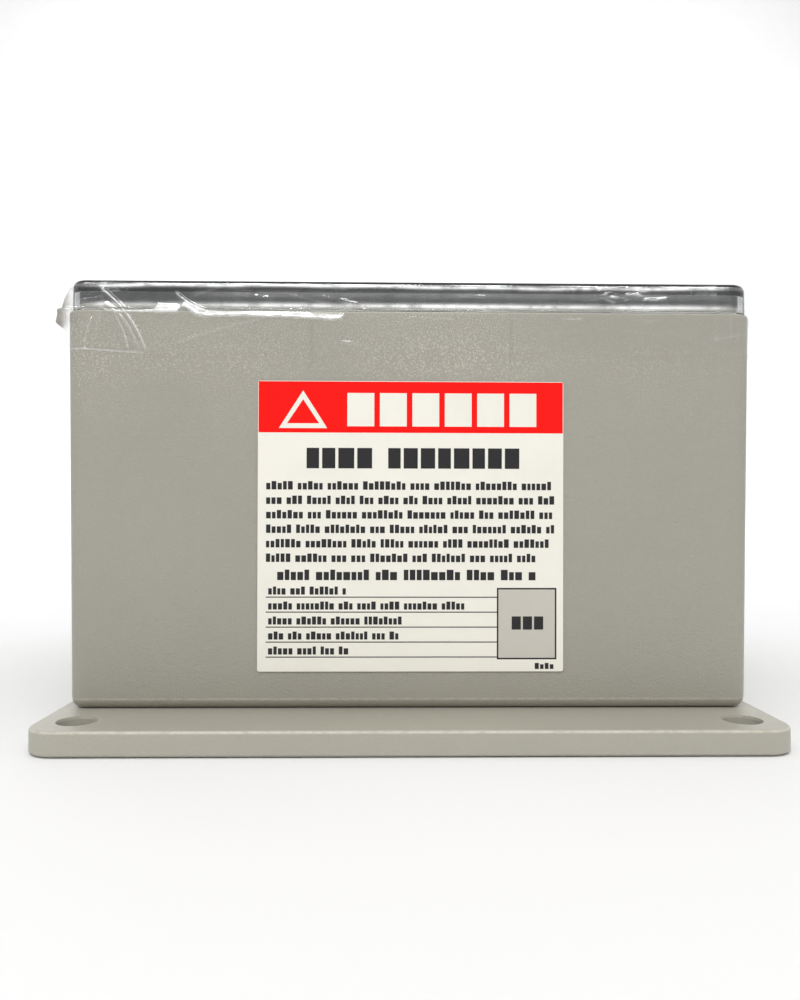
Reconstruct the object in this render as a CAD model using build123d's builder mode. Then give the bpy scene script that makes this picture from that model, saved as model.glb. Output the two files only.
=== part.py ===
from build123d import *
import math
import os

# Wall-mounted surge protective device, in millimetres.
# The box lies on its back: its mounting plate is at the bottom, its clear cover on top and its
# label on the -Y wall. The origin is the centre of the plate's underside, +Z points to the cover.

# Mounting plate
PLATE_THICK = 5.8
PLATE_CORNER_R = 7.0
PLATE_TOP_R = 0.8
PLATE_FOOT_CHAMFER = 0.5
FLANGE_REACH = 19.0  # how far the plate stands out past the box's rim at each end
FLANGE_SIDE = 1.2  # and past it at each side
MOUNT_HOLE_R = 4.7
MOUNT_HOLE_EDGE = 9.5  # from a hole's centre to the plate's two nearest edges
POCKET_SIDE = 44.0  # weight-saving pockets in the plate's underside
POCKET_PITCH = 52.0
POCKET_DEPTH = 3.0
POCKET_CORNER_R = 4.0

# Enclosure box
BOX_WIDTH = 173.0
BOX_LENGTH = 173.0
BOX_HEIGHT = 99.3
WALL = 4.0
FLOOR = 4.0
DRAFT = 1.0  # degrees; the walls lean out towards the rim
BOX_CORNER_R = 5.0
CAVITY_CORNER_R = 3.0
BOX_FOOT_R = 2.8
RIM_EDGE_R = 0.6
TONGUE_WALL = 1.6  # the raised tongue on the rim that presses into the gasket
TONGUE_HEIGHT = 2.0
RIB_SPREAD = 50.0  # between the two short stiffening ribs inside each end wall
RIB_THICK = 1.2
RIB_DEPTH = 2.0
RIB_HEIGHT = 12.5

# Corner posts, their brass inserts and the cover screws
POST_INSET = 11.0  # from the rim's outer faces to a post's axis
POST_R = 6.5
POST_BURY = 1.0  # how far a post's web runs into the wall at the rim
POST_HOLE_DEPTH = 14.0
INSERT_R = 2.8
INSERT_LENGTH = 8.0
SCREW_R = 2.0
SCREW_LENGTH = 16.0
SCREW_HEAD_R = 4.0
SCREW_HEAD_HEIGHT = 2.2
SCREW_HEAD_EDGE_R = 0.5
RECESS_WIDTH = 1.0
RECESS_LENGTH = 4.6
RECESS_DEPTH = 1.2
RUNNING_GAP = 0.05  # radial clearance of a shaft that turns or slides
SEAL_THICK = 1.0
SEAL_R = 3.8

# Clear cover, gasket and protective film
COVER_INSET = 0.8  # the cover's outline is this much inside the rim's
COVER_GAP = 0.4  # shadow gap between the rim and the cover's lower edge
COVER_HEIGHT = 7.5
COVER_TOP = 3.0
COVER_SKIRT = 1.4
COVER_EDGE_R = 1.6
COVER_RIB = 1.0
COVER_RIB_GAP = 0.4  # between the tongue and the cover's inner rib
COVER_RIB_DEPTH = 3.4
COVER_BOSS_R = 6.0
BOSS_GAP = 0.3
GASKET_GAP = 0.1
COUNTERBORE_R = 4.4
COUNTERBORE_DEPTH = 3.4
SCREW_CLEARANCE = 0.3
FILM_GAP = 0.3
FILM_THICK = 0.3
FILM_DROP = 11.0  # how far the film's skirt hangs below the rim

# Front label
LABEL_WIDTH = 76.2
LABEL_THICK = 0.15
LABEL_TOP_DROP = 17.6  # from the rim to the label's top edge
LABEL_FOOT_RISE = 9.4  # from the box's foot to the label's bottom edge
GLUE = 0.02

# Cable entry in the +Y wall
ENTRY_HEIGHT = 46.0
ENTRY_HOLE_R = 13.75
ENTRY_PAD_R = 21.0
ENTRY_PAD_INNER = 1.5  # the pad stands this far into the cavity, measured at the rim
NIPPLE_R = 13.33
NIPPLE_BORE_R = 10.4
NIPPLE_HEX = 36.0
NIPPLE_HEX_THICK = 6.0
NIPPLE_OUTER = 10.5
NIPPLE_INNER = 8.0
NIPPLE_CHAMFER = 0.8
ENTRY_SEAL_R = 18.0
ENTRY_SEAL_THICK = 1.5
LOCKNUT_HEX = 34.0
LOCKNUT_THICK = 4.5

# Screws that hold the plate, the panel and the boards
PLATE_SCREW_PITCH = 100.0
PLATE_SCREW_R = 1.9
PLATE_SCREW_LENGTH = 10.0
PLATE_SCREW_HEAD_R = 3.8
PLATE_SCREW_HEAD_HEIGHT = 2.5
PLATE_COUNTERBORE_R = 4.3
PLATE_COUNTERBORE_DEPTH = 3.0
PLATE_BOSS_R = 5.0
PLATE_BOSS_HEIGHT = 4.5
PLATE_HOLE_DEPTH = 7.7  # from the box's foot
PANEL_POST_CLEAR = 2.0
PANEL_END_CLEAR = 5.5
PANEL_THICK = 1.6
PANEL_CORNER_R = 4.0
PANEL_BOSS_R = 4.5
PANEL_BOSS_HEIGHT = 6.0
PANEL_SCREW_EDGE_X = 5.0
PANEL_SCREW_EDGE_Y = 10.0
PANEL_SCREW_R = 1.9
PANEL_SCREW_LENGTH = 7.0
PANEL_SCREW_HEAD_R = 3.6
PANEL_SCREW_HEAD_HEIGHT = 2.4

# Main circuit board
BOARD_SIDE_CLEAR = 9.0
BOARD_FRONT_CLEAR = 6.0  # from the panel's -Y edge to the board's -Y edge
BOARD_THICK = 1.6
BOARD_CORNER_R = 2.0
STANDOFF_HEIGHT = 10.0
STANDOFF_HEX = 5.5
BOARD_SCREW_EDGE = 3.5
SMALL_SCREW_R = 1.45
SMALL_SCREW_LENGTH = 6.0
SMALL_HEAD_R = 2.8
SMALL_HEAD_HEIGHT = 2.0
SMALL_HOLE_GAP = 0.15
SMALL_RECESS_LENGTH = 3.2
NUT_HEX = 5.5
NUT_THICK = 2.4

# Varistor modules: an open-topped housing, a square varistor and a spring-loaded disconnector
PHASES = ("a", "b", "c", "n")
MODULE_EDGE = 4.0  # from the board's side edges to the outer housings
MODULE_LENGTH = 40.0
MODULE_HEIGHT = 44.0
MODULE_WALL = 1.6
MODULE_FRONT_CLEAR = 8.0  # from the board's -Y edge to the housings
VARISTOR_SIDE = 34.0
VARISTOR_THICK = 6.0
VARISTOR_EDGE_R = 1.5
VARISTOR_GAP = 0.1
SLIDER_THICK = 6.0
SLIDER_WIDTH = 22.0
SLIDER_FLAG = 13.0
SLIDER_SHOULDER = 4.0  # the flag stands this far above the shoulders
SLIDER_BOTTOM = 18.0  # above the board
SLIDER_HEIGHT = 20.0
SLIDER_WALL_GAP = 0.8
TRIP_TRAVEL = 8.0
RAIL_THICK = 1.5
RAIL_GAP = 0.3
HOOK_DEPTH = 3.0
HOOK_THICK = 1.4
BRIDGE_THICK = 0.8
BRIDGE_LENGTH = 20.0
BRIDGE_HEIGHT = 6.0
SOLDER_GAP = 0.2
TAB_WIDTH = 5.0
TAB_OFFSET = 6.5
TAB_THICK = 0.8
TAB_VARISTOR_GAP = 1.1
SPRING_R = 2.4
SPRING_WIRE_R = 0.4
SPRING_TURNS = 7
SPRING_PIN_R = 1.5
SPRING_PIN_HEIGHT = 7.0
SPRING_END_GAP = 0.3

# Fuses, capacitors and terminal block
FUSE_LENGTH = 38.0
FUSE_TUBE_R = 4.8
FUSE_CAP_R = 5.15
FUSE_CAP_LENGTH = 9.5
FUSE_HEIGHT = 8.0  # a fuse's axis above the board
FUSE_MODULE_GAP = 3.0
FUSE_BACK_CLEAR = 15.0  # board behind the fuses, for the leads' solder joints
CLIP_LENGTH = 7.0
CLIP_THICK = 0.8
CLIP_GAP = 0.05
CLIP_MOUTH = 100.0  # degrees left open at the top
CLIP_FOOT_WIDTH = 9.0
CAPACITOR_SIZE = (18.0, 9.0, 20.0)
CAPACITOR_PITCH = 13.0
CAPACITOR_EDGE_R = 0.8
CAPACITOR_TOP_R = 0.6
POLES = 5
POLE_PITCH = 14.0
BLOCK_END = 4.0
BLOCK_LENGTH = 20.0
BLOCK_HEIGHT = 34.0
BLOCK_BOARD_GAP = 8.0
BARRIER_THICK = 2.0
BARRIER_HEIGHT = 6.0
ENTRY_HEIGHT_IN_BLOCK = 26.0
TERMINAL_SCREW_R = 1.9
TERMINAL_HEAD_R = 3.4
TERMINAL_HEAD_HEIGHT = 2.4
TERMINAL_SCREW_DEPTH = 5.0
TERMINAL_INSET = 5.0

# Status board
STATUS_DROP = 14.0  # from the rim down to the status board's underside
STATUS_WIDTH = 76.0
STATUS_OVERHANG = 8.0  # past the spacers in Y
STATUS_THICK = 1.6
SPACER_HEX = 5.5
SPACER_FRONT = 14.0  # from the board's -Y edge
SPACER_PITCH_Y = 76.0
SPACER_STUD = 5.0
LED_R = 2.5
LED_FLANGE_R = 2.9
LED_HEIGHT = 8.6
LED_PITCH = 16.0
LED_INSET = 24.0  # from the board's -Y edge
LED_FLANGE_HEIGHT = 1.0
LED_TIP_FLAT = 0.2
RELAY_SIZE = (20.0, 15.0, 11.0)
RELAY_EDGE_R = 0.8
RELAY_OFFSET = 12.0  # from the status board's centre towards +Y
RELAY_GAP = 6.0  # between the relay and the buzzer beside it
BUZZER_R = 7.5
BUZZER_HEIGHT = 9.0
RESISTOR_SIZE = (2.4, 6.4, 2.2)
RESISTOR_LED_PITCH = 10.0
HEADER_SIZE = (12.0, 6.0, 7.0)
HEADER_INSET = 10.0
HARNESS_WIRES = 4
HARNESS_PITCH = 2.5
HARNESS_R = 0.7
HARNESS_BOW = 7.0
HARNESS_STRAIGHT = 4.0

# Leads inside the box
LEAD_R = 1.8
LEAD_BOARD_INSET = 8.0  # from the board's +Y edge
LEAD_REACH = 3.0  # how far a lead goes into the terminal block
LEAD_GAP = 0.2
GROUND_LEAD_X = 50.0
GROUND_STUD_GAP = 12.0  # from the board's +Y edge to the stud
STUD_R = 2.0
STUD_HEIGHT = 9.0
STUD_NUT_HEX = 7.0
STUD_NUT_THICK = 3.0
LUG_R = 4.2
LUG_THICK = 0.8
LUG_BARREL_R = 2.4
LUG_BARREL_OFFSET = 6.5
LUG_BARREL_HEIGHT = 8.0
GROUND_LOOP = 16.0  # how far the ground lead rises above the board

# Places that follow from the sizes above
PLATE_WIDTH = BOX_WIDTH + 2 * FLANGE_SIDE
PLATE_LENGTH = BOX_LENGTH + 2 * FLANGE_REACH
LABEL_HEIGHT = BOX_HEIGHT - LABEL_TOP_DROP - LABEL_FOOT_RISE
RIM_Z = PLATE_THICK + BOX_HEIGHT
FLOOR_Z = PLATE_THICK + FLOOR
CAVITY_WIDTH = BOX_WIDTH - 2 * WALL
CAVITY_LENGTH = BOX_LENGTH - 2 * WALL
POST_X = BOX_WIDTH / 2 - POST_INSET
POST_Y = BOX_LENGTH / 2 - POST_INSET
TONGUE_TOP = RIM_Z + TONGUE_HEIGHT
COVER_Z = RIM_Z + COVER_GAP
COVER_TOP_Z = COVER_Z + COVER_HEIGHT
COVER_CEILING = COVER_TOP_Z - COVER_TOP
COVER_WIDTH = BOX_WIDTH - 2 * COVER_INSET
COVER_LENGTH = BOX_LENGTH - 2 * COVER_INSET
COVER_CORNER_R = BOX_CORNER_R - COVER_INSET
HEAD_SEAT_Z = COVER_TOP_Z - COUNTERBORE_DEPTH + SEAL_THICK
PANEL_Z = FLOOR_Z + PANEL_BOSS_HEIGHT
PANEL_TOP = PANEL_Z + PANEL_THICK
PANEL_WIDTH = 2 * (POST_X - POST_R - PANEL_POST_CLEAR)
PANEL_LENGTH = CAVITY_LENGTH - 2 * PANEL_END_CLEAR
PANEL_SCREW_X = PANEL_WIDTH - 2 * PANEL_SCREW_EDGE_X
PANEL_SCREW_Y = PANEL_LENGTH - 2 * PANEL_SCREW_EDGE_Y
BOARD_WIDTH = PANEL_WIDTH - 2 * BOARD_SIDE_CLEAR
BOARD_Z = PANEL_TOP + STANDOFF_HEIGHT
BOARD_TOP = BOARD_Z + BOARD_THICK
BOARD_LENGTH = (
    MODULE_FRONT_CLEAR + MODULE_LENGTH + FUSE_MODULE_GAP + FUSE_LENGTH + FUSE_BACK_CLEAR
)
BOARD_FRONT = -PANEL_LENGTH / 2 + BOARD_FRONT_CLEAR
BOARD_BACK = BOARD_FRONT + BOARD_LENGTH
BOARD_CENTRE = (BOARD_FRONT + BOARD_BACK) / 2
BOARD_SCREW_X = BOARD_WIDTH - 2 * BOARD_SCREW_EDGE
BOARD_SCREW_Y = BOARD_LENGTH - 2 * BOARD_SCREW_EDGE
MODULE_FILL = (
    SLIDER_WALL_GAP
    + SLIDER_THICK
    + BRIDGE_THICK
    + SOLDER_GAP
    + TAB_THICK
    + TAB_VARISTOR_GAP
    + VARISTOR_THICK
    + VARISTOR_GAP
)  # what a housing holds across its width
MODULE_WIDTH = MODULE_FILL + 2 * MODULE_WALL
MODULE_PITCH = (BOARD_WIDTH - 2 * MODULE_EDGE - MODULE_WIDTH) / (len(PHASES) - 1)
MODULE_Y = BOARD_FRONT + MODULE_FRONT_CLEAR + MODULE_LENGTH / 2
MODULE_X = [(i - (len(PHASES) - 1) / 2) * MODULE_PITCH for i in range(len(PHASES))]
MODULE_INNER = MODULE_WIDTH / 2 - MODULE_WALL  # half of the housing's inner width
SLIDER_X = -MODULE_INNER + SLIDER_WALL_GAP + SLIDER_THICK / 2
VARISTOR_X = MODULE_INNER - VARISTOR_GAP - VARISTOR_THICK / 2
BRIDGE_X = SLIDER_X + SLIDER_THICK / 2 + BRIDGE_THICK / 2
TAB_X = BRIDGE_X + BRIDGE_THICK / 2 + SOLDER_GAP + TAB_THICK / 2
BRIDGE_Z = BOARD_TOP + SLIDER_BOTTOM + SLIDER_HEIGHT / 2
MODULE_BACK = MODULE_Y + MODULE_LENGTH / 2
FUSE_Y = MODULE_BACK + FUSE_MODULE_GAP + FUSE_LENGTH / 2
FUSE_Z = BOARD_TOP + FUSE_HEIGHT
STATUS_Z = RIM_Z - STATUS_DROP
STATUS_TOP = STATUS_Z + STATUS_THICK
SPACER_X = MODULE_PITCH
SPACER_Y = BOARD_FRONT + SPACER_FRONT + SPACER_PITCH_Y / 2
STATUS_LENGTH = SPACER_PITCH_Y + 2 * STATUS_OVERHANG
BLOCK_WIDTH = POLES * POLE_PITCH + 2 * BLOCK_END
BLOCK_Y = BOARD_BACK + BLOCK_BOARD_GAP + BLOCK_LENGTH / 2
BLOCK_TOP = PANEL_TOP + BLOCK_HEIGHT
POLE_X = [(i - (POLES - 1) / 2) * POLE_PITCH for i in range(POLES)]
LEAD_Z = PANEL_TOP + ENTRY_HEIGHT_IN_BLOCK
LEAD_Y = BOARD_BACK - LEAD_BOARD_INSET
HEADER_Y = SPACER_Y + STATUS_LENGTH / 2 - HEADER_INSET
STUD_Y = BOARD_BACK + GROUND_STUD_GAP
PAD_FACE_Y = BOX_LENGTH / 2
PAD_INNER_Y = CAVITY_LENGTH / 2 - ENTRY_PAD_INNER

os.makedirs("parts", exist_ok=True)


def save(piece, name):
    """Label a finished piece and write it to its own file."""
    piece.part.label = name
    export_step(piece.part, f"parts/{name}.step")


def top_edges(piece):
    """The outline of a piece's highest face."""
    return piece.faces().sort_by(Axis.Z)[-1].outer_wire().edges()


def up(height):
    """The horizontal plane at a height."""
    return Plane.XY.offset(height)


def down(height):
    """The horizontal plane at a height, facing down, for holes drilled from below."""
    return Plane(origin=(0, 0, height), z_dir=(0, 0, -1))


def along_y(y, x=0.0, z=ENTRY_HEIGHT):
    """A plane across the Y axis at y, facing +Y."""
    return Plane(origin=(x, y, z), x_dir=(1, 0, 0), z_dir=(0, 1, 0))


# ---------------------------------------------------------------- mounting plate
with BuildPart() as mounting_plate:
    with BuildSketch():
        RectangleRounded(PLATE_WIDTH, PLATE_LENGTH, PLATE_CORNER_R)
    extrude(amount=PLATE_THICK)
    fillet(top_edges(mounting_plate), PLATE_TOP_R)
    chamfer(mounting_plate.faces().sort_by(Axis.Z)[0].edges(), PLATE_FOOT_CHAMFER)
    with Locations(up(PLATE_THICK)):
        with GridLocations(
            PLATE_WIDTH - 2 * MOUNT_HOLE_EDGE, PLATE_LENGTH - 2 * MOUNT_HOLE_EDGE, 2, 2
        ):
            Hole(MOUNT_HOLE_R)
    with Locations(down(0)):
        with GridLocations(PLATE_SCREW_PITCH, PLATE_SCREW_PITCH, 2, 2):
            CounterBoreHole(
                PLATE_SCREW_R + RUNNING_GAP, PLATE_COUNTERBORE_R, PLATE_COUNTERBORE_DEPTH
            )
    with BuildSketch():
        RectangleRounded(POCKET_SIDE, POCKET_SIDE, POCKET_CORNER_R)
        with PolarLocations(POCKET_PITCH, 4):
            RectangleRounded(POCKET_SIDE, POCKET_SIDE, POCKET_CORNER_R)
    extrude(amount=POCKET_DEPTH, mode=Mode.SUBTRACT)
save(mounting_plate, "mounting_plate")

PLATE_HEAD_Z = PLATE_COUNTERBORE_DEPTH  # the heads bear on the counterbores' floors
with BuildPart() as plate_screws:
    with BuildSketch(up(PLATE_HEAD_Z)):
        with GridLocations(PLATE_SCREW_PITCH, PLATE_SCREW_PITCH, 2, 2):
            Circle(PLATE_SCREW_HEAD_R)
    extrude(amount=-PLATE_SCREW_HEAD_HEIGHT)
    with BuildSketch(up(PLATE_HEAD_Z)):
        with GridLocations(PLATE_SCREW_PITCH, PLATE_SCREW_PITCH, 2, 2):
            Circle(PLATE_SCREW_R)
    extrude(amount=PLATE_SCREW_LENGTH)
    with BuildSketch(up(PLATE_HEAD_Z - PLATE_SCREW_HEAD_HEIGHT)):
        with GridLocations(PLATE_SCREW_PITCH, PLATE_SCREW_PITCH, 2, 2):
            Rectangle(RECESS_LENGTH, RECESS_WIDTH)
            Rectangle(RECESS_WIDTH, RECESS_LENGTH)
    extrude(amount=RECESS_DEPTH, mode=Mode.SUBTRACT)
save(plate_screws, "plate_screws")


# ---------------------------------------------------------------- enclosure box
def corner_post_outline():
    """Each post is a round column filled out to the two walls of its corner."""
    reach_x = BOX_WIDTH / 2 - WALL + POST_BURY - POST_X
    reach_y = BOX_LENGTH / 2 - WALL + POST_BURY - POST_Y
    for side_x in (-1, 1):
        for side_y in (-1, 1):
            with Locations((side_x * POST_X, side_y * POST_Y)):
                Circle(POST_R)
            with Locations((side_x * (POST_X + reach_x / 2), side_y * POST_Y)):
                Rectangle(reach_x, 2 * POST_R)
            with Locations((side_x * POST_X, side_y * (POST_Y + reach_y / 2))):
                Rectangle(2 * POST_R, reach_y)
            with Locations(
                (side_x * (POST_X + reach_x / 2), side_y * (POST_Y + reach_y / 2))
            ):
                Rectangle(reach_x, reach_y)


with BuildPart() as enclosure_box:
    with BuildSketch(up(RIM_Z)):
        RectangleRounded(BOX_WIDTH, BOX_LENGTH, BOX_CORNER_R)
    extrude(amount=-BOX_HEIGHT, taper=DRAFT)
    fillet(enclosure_box.faces().sort_by(Axis.Z)[0].edges(), BOX_FOOT_R)
    fillet(top_edges(enclosure_box), RIM_EDGE_R)
    with BuildSketch(up(RIM_Z)):
        RectangleRounded(CAVITY_WIDTH, CAVITY_LENGTH, CAVITY_CORNER_R)
    extrude(amount=-(BOX_HEIGHT - FLOOR), taper=DRAFT, mode=Mode.SUBTRACT)
    with BuildSketch(up(RIM_Z)):
        RectangleRounded(
            CAVITY_WIDTH + 2 * TONGUE_WALL, CAVITY_LENGTH + 2 * TONGUE_WALL, CAVITY_CORNER_R
        )
        RectangleRounded(CAVITY_WIDTH, CAVITY_LENGTH, CAVITY_CORNER_R, mode=Mode.SUBTRACT)
    extrude(amount=TONGUE_HEIGHT)
    with BuildSketch(up(FLOOR_Z)):
        corner_post_outline()
    extrude(amount=BOX_HEIGHT - FLOOR)
    with BuildSketch(up(FLOOR_Z)):
        with GridLocations(PANEL_SCREW_X, PANEL_SCREW_Y, 2, 2):
            Circle(PANEL_BOSS_R)
    extrude(amount=PANEL_BOSS_HEIGHT)
    with BuildSketch(up(FLOOR_Z)):
        with GridLocations(PLATE_SCREW_PITCH, PLATE_SCREW_PITCH, 2, 2):
            Circle(PLATE_BOSS_R)
    extrude(amount=PLATE_BOSS_HEIGHT)
    with BuildSketch(up(RIM_Z)):
        with GridLocations(RIB_SPREAD, CAVITY_LENGTH - RIB_DEPTH + WALL / 2, 2, 2):
            Rectangle(RIB_THICK, RIB_DEPTH + WALL / 2)
    extrude(amount=-RIB_HEIGHT)
    with BuildSketch(along_y(PAD_FACE_Y)):
        Circle(ENTRY_PAD_R)
    extrude(amount=PAD_INNER_Y - PAD_FACE_Y)
    with BuildSketch(along_y(PAD_FACE_Y)):
        Circle(ENTRY_HOLE_R)
    extrude(amount=-2 * WALL, mode=Mode.SUBTRACT)
    with Locations(up(RIM_Z)):
        with GridLocations(2 * POST_X, 2 * POST_Y, 2, 2):
            CounterBoreHole(
                SCREW_R + SCREW_CLEARANCE, INSERT_R, INSERT_LENGTH, depth=POST_HOLE_DEPTH
            )
    with Locations(up(PANEL_Z)):
        with GridLocations(PANEL_SCREW_X, PANEL_SCREW_Y, 2, 2):
            Hole(PANEL_SCREW_R + RUNNING_GAP, depth=PANEL_BOSS_HEIGHT)
    with Locations(down(PLATE_THICK)):
        with GridLocations(PLATE_SCREW_PITCH, PLATE_SCREW_PITCH, 2, 2):
            Hole(PLATE_SCREW_R + RUNNING_GAP, depth=PLATE_HOLE_DEPTH)
save(enclosure_box, "enclosure_box")

with BuildPart() as post_inserts:
    with BuildSketch(up(RIM_Z)):
        with GridLocations(2 * POST_X, 2 * POST_Y, 2, 2):
            Circle(INSERT_R)
            Circle(SCREW_R + RUNNING_GAP, mode=Mode.SUBTRACT)
    extrude(amount=-INSERT_LENGTH)
save(post_inserts, "post_inserts")

# ---------------------------------------------------------------- clear cover
RIB_OUTER_WIDTH = CAVITY_WIDTH - 2 * COVER_RIB_GAP
RIB_OUTER_LENGTH = CAVITY_LENGTH - 2 * COVER_RIB_GAP
with BuildPart() as clear_cover:
    with BuildSketch(up(COVER_Z)):
        RectangleRounded(COVER_WIDTH, COVER_LENGTH, COVER_CORNER_R)
    extrude(amount=COVER_HEIGHT)
    fillet(top_edges(clear_cover), COVER_EDGE_R)
    with BuildSketch(up(COVER_Z)):
        RectangleRounded(
            COVER_WIDTH - 2 * COVER_SKIRT,
            COVER_LENGTH - 2 * COVER_SKIRT,
            COVER_CORNER_R - COVER_SKIRT,
        )
    extrude(amount=COVER_HEIGHT - COVER_TOP, mode=Mode.SUBTRACT)
    with BuildSketch(up(COVER_CEILING)):
        RectangleRounded(RIB_OUTER_WIDTH, RIB_OUTER_LENGTH, CAVITY_CORNER_R)
        RectangleRounded(
            RIB_OUTER_WIDTH - 2 * COVER_RIB,
            RIB_OUTER_LENGTH - 2 * COVER_RIB,
            CAVITY_CORNER_R - COVER_RIB,
            mode=Mode.SUBTRACT,
        )
    extrude(amount=-COVER_RIB_DEPTH)
    with BuildSketch(up(RIM_Z + BOSS_GAP)):
        with GridLocations(2 * POST_X, 2 * POST_Y, 2, 2):
            Circle(COVER_BOSS_R)
    extrude(amount=COVER_CEILING - RIM_Z - BOSS_GAP)
    with Locations(up(COVER_TOP_Z)):
        with GridLocations(2 * POST_X, 2 * POST_Y, 2, 2):
            CounterBoreHole(SCREW_R + SCREW_CLEARANCE, COUNTERBORE_R, COUNTERBORE_DEPTH)
save(clear_cover, "clear_cover")

with BuildPart() as cover_gasket:
    with BuildSketch(up(TONGUE_TOP + GASKET_GAP)):
        RectangleRounded(
            COVER_WIDTH - 2 * COVER_SKIRT - 2 * GASKET_GAP,
            COVER_LENGTH - 2 * COVER_SKIRT - 2 * GASKET_GAP,
            COVER_CORNER_R - COVER_SKIRT,
        )
        RectangleRounded(
            RIB_OUTER_WIDTH + 2 * GASKET_GAP,
            RIB_OUTER_LENGTH + 2 * GASKET_GAP,
            CAVITY_CORNER_R,
            mode=Mode.SUBTRACT,
        )
    extrude(amount=COVER_CEILING - TONGUE_TOP - GASKET_GAP)
save(cover_gasket, "cover_gasket")

CORNERS = {
    "front_left": (-1, -1),
    "front_right": (1, -1),
    "rear_left": (-1, 1),
    "rear_right": (1, 1),
}
for corner, (side_x, side_y) in CORNERS.items():
    with BuildPart() as cover_screw:
        axis_at = (side_x * POST_X, side_y * POST_Y)
        with BuildSketch(up(HEAD_SEAT_Z)):
            with Locations(axis_at):
                Circle(SCREW_HEAD_R)
        extrude(amount=SCREW_HEAD_HEIGHT)
        fillet(top_edges(cover_screw), SCREW_HEAD_EDGE_R)
        with BuildSketch(up(HEAD_SEAT_Z)):
            with Locations(axis_at):
                Circle(SCREW_R)
        extrude(amount=-SCREW_LENGTH)
        with BuildSketch(up(HEAD_SEAT_Z + SCREW_HEAD_HEIGHT)):
            with Locations(axis_at):
                Rectangle(RECESS_LENGTH, RECESS_WIDTH)
                Rectangle(RECESS_WIDTH, RECESS_LENGTH)
        extrude(amount=-RECESS_DEPTH, mode=Mode.SUBTRACT)
    save(cover_screw, f"cover_screw_{corner}")

with BuildPart() as screw_seals:
    with BuildSketch(up(HEAD_SEAT_Z)):
        with GridLocations(2 * POST_X, 2 * POST_Y, 2, 2):
            Circle(SEAL_R)
            Circle(SCREW_R + RUNNING_GAP, mode=Mode.SUBTRACT)
    extrude(amount=-SEAL_THICK)
save(screw_seals, "screw_seals")

FILM_WIDTH = BOX_WIDTH + 2 * FILM_GAP
FILM_LENGTH = BOX_LENGTH + 2 * FILM_GAP
FILM_Z = RIM_Z - FILM_DROP
with BuildPart() as protective_film:
    with BuildSketch(up(FILM_Z)):
        RectangleRounded(
            FILM_WIDTH + 2 * FILM_THICK, FILM_LENGTH + 2 * FILM_THICK, BOX_CORNER_R + FILM_THICK
        )
    extrude(amount=COVER_TOP_Z + FILM_GAP + FILM_THICK - FILM_Z)
    with BuildSketch(up(FILM_Z)):
        RectangleRounded(FILM_WIDTH, FILM_LENGTH, BOX_CORNER_R)
    extrude(amount=COVER_TOP_Z + FILM_GAP - FILM_Z, mode=Mode.SUBTRACT)
save(protective_film, "protective_film")

# ---------------------------------------------------------------- front label
# The -Y wall leans out by the draft, so the label's plane leans with it.
lean = math.radians(DRAFT)
label_drop = LABEL_TOP_DROP + LABEL_HEIGHT / 2
label_plane = Plane(
    origin=(0, -BOX_LENGTH / 2 + label_drop * math.tan(lean), RIM_Z - label_drop),
    x_dir=(1, 0, 0),
    z_dir=(0, -math.cos(lean), -math.sin(lean)),
).offset(GLUE)
with BuildPart() as front_label:
    with BuildSketch(label_plane):
        Rectangle(LABEL_WIDTH, LABEL_HEIGHT)
    extrude(amount=LABEL_THICK)
save(front_label, "front_label")

# ---------------------------------------------------------------- cable entry
HEX_Y = PAD_FACE_Y + ENTRY_SEAL_THICK
with BuildPart() as conduit_nipple:
    with BuildSketch(along_y(PAD_INNER_Y - NIPPLE_INNER)):
        Circle(NIPPLE_R)
    extrude(amount=HEX_Y - PAD_INNER_Y + NIPPLE_INNER)
    with BuildSketch(along_y(HEX_Y)):
        RegularPolygon(NIPPLE_HEX / 2, 6, major_radius=False)
    extrude(amount=NIPPLE_HEX_THICK)
    with BuildSketch(along_y(HEX_Y + NIPPLE_HEX_THICK)):
        Circle(NIPPLE_R)
    extrude(amount=NIPPLE_OUTER)
    ends = conduit_nipple.faces().sort_by(Axis.Y)
    chamfer([*ends[0].edges(), *ends[-1].edges()], NIPPLE_CHAMFER)
    with BuildSketch(along_y(PAD_INNER_Y - NIPPLE_INNER)):
        Circle(NIPPLE_BORE_R)
    extrude(amount=BOX_LENGTH, mode=Mode.SUBTRACT)
save(conduit_nipple, "conduit_nipple")

with BuildPart() as nipple_seal:
    with BuildSketch(along_y(PAD_FACE_Y)):
        Circle(ENTRY_SEAL_R)
        Circle(NIPPLE_R + RUNNING_GAP, mode=Mode.SUBTRACT)
    extrude(amount=ENTRY_SEAL_THICK)
save(nipple_seal, "nipple_seal")

with BuildPart() as nipple_locknut:
    with BuildSketch(along_y(PAD_INNER_Y)):
        RegularPolygon(LOCKNUT_HEX / 2, 6, major_radius=False)
        Circle(NIPPLE_R + RUNNING_GAP, mode=Mode.SUBTRACT)
    extrude(amount=-LOCKNUT_THICK)
save(nipple_locknut, "nipple_locknut")

# ---------------------------------------------------------------- back panel
with BuildPart() as back_panel:
    with BuildSketch(up(PANEL_Z)):
        RectangleRounded(PANEL_WIDTH, PANEL_LENGTH, PANEL_CORNER_R)
        with GridLocations(PANEL_SCREW_X, PANEL_SCREW_Y, 2, 2):
            Circle(PANEL_SCREW_R + RUNNING_GAP, mode=Mode.SUBTRACT)
        with Locations((0, BOARD_CENTRE)):
            with GridLocations(BOARD_SCREW_X, BOARD_SCREW_Y, 2, 2):
                Circle(SMALL_SCREW_R + SMALL_HOLE_GAP, mode=Mode.SUBTRACT)
    extrude(amount=PANEL_THICK)
save(back_panel, "back_panel")

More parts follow.
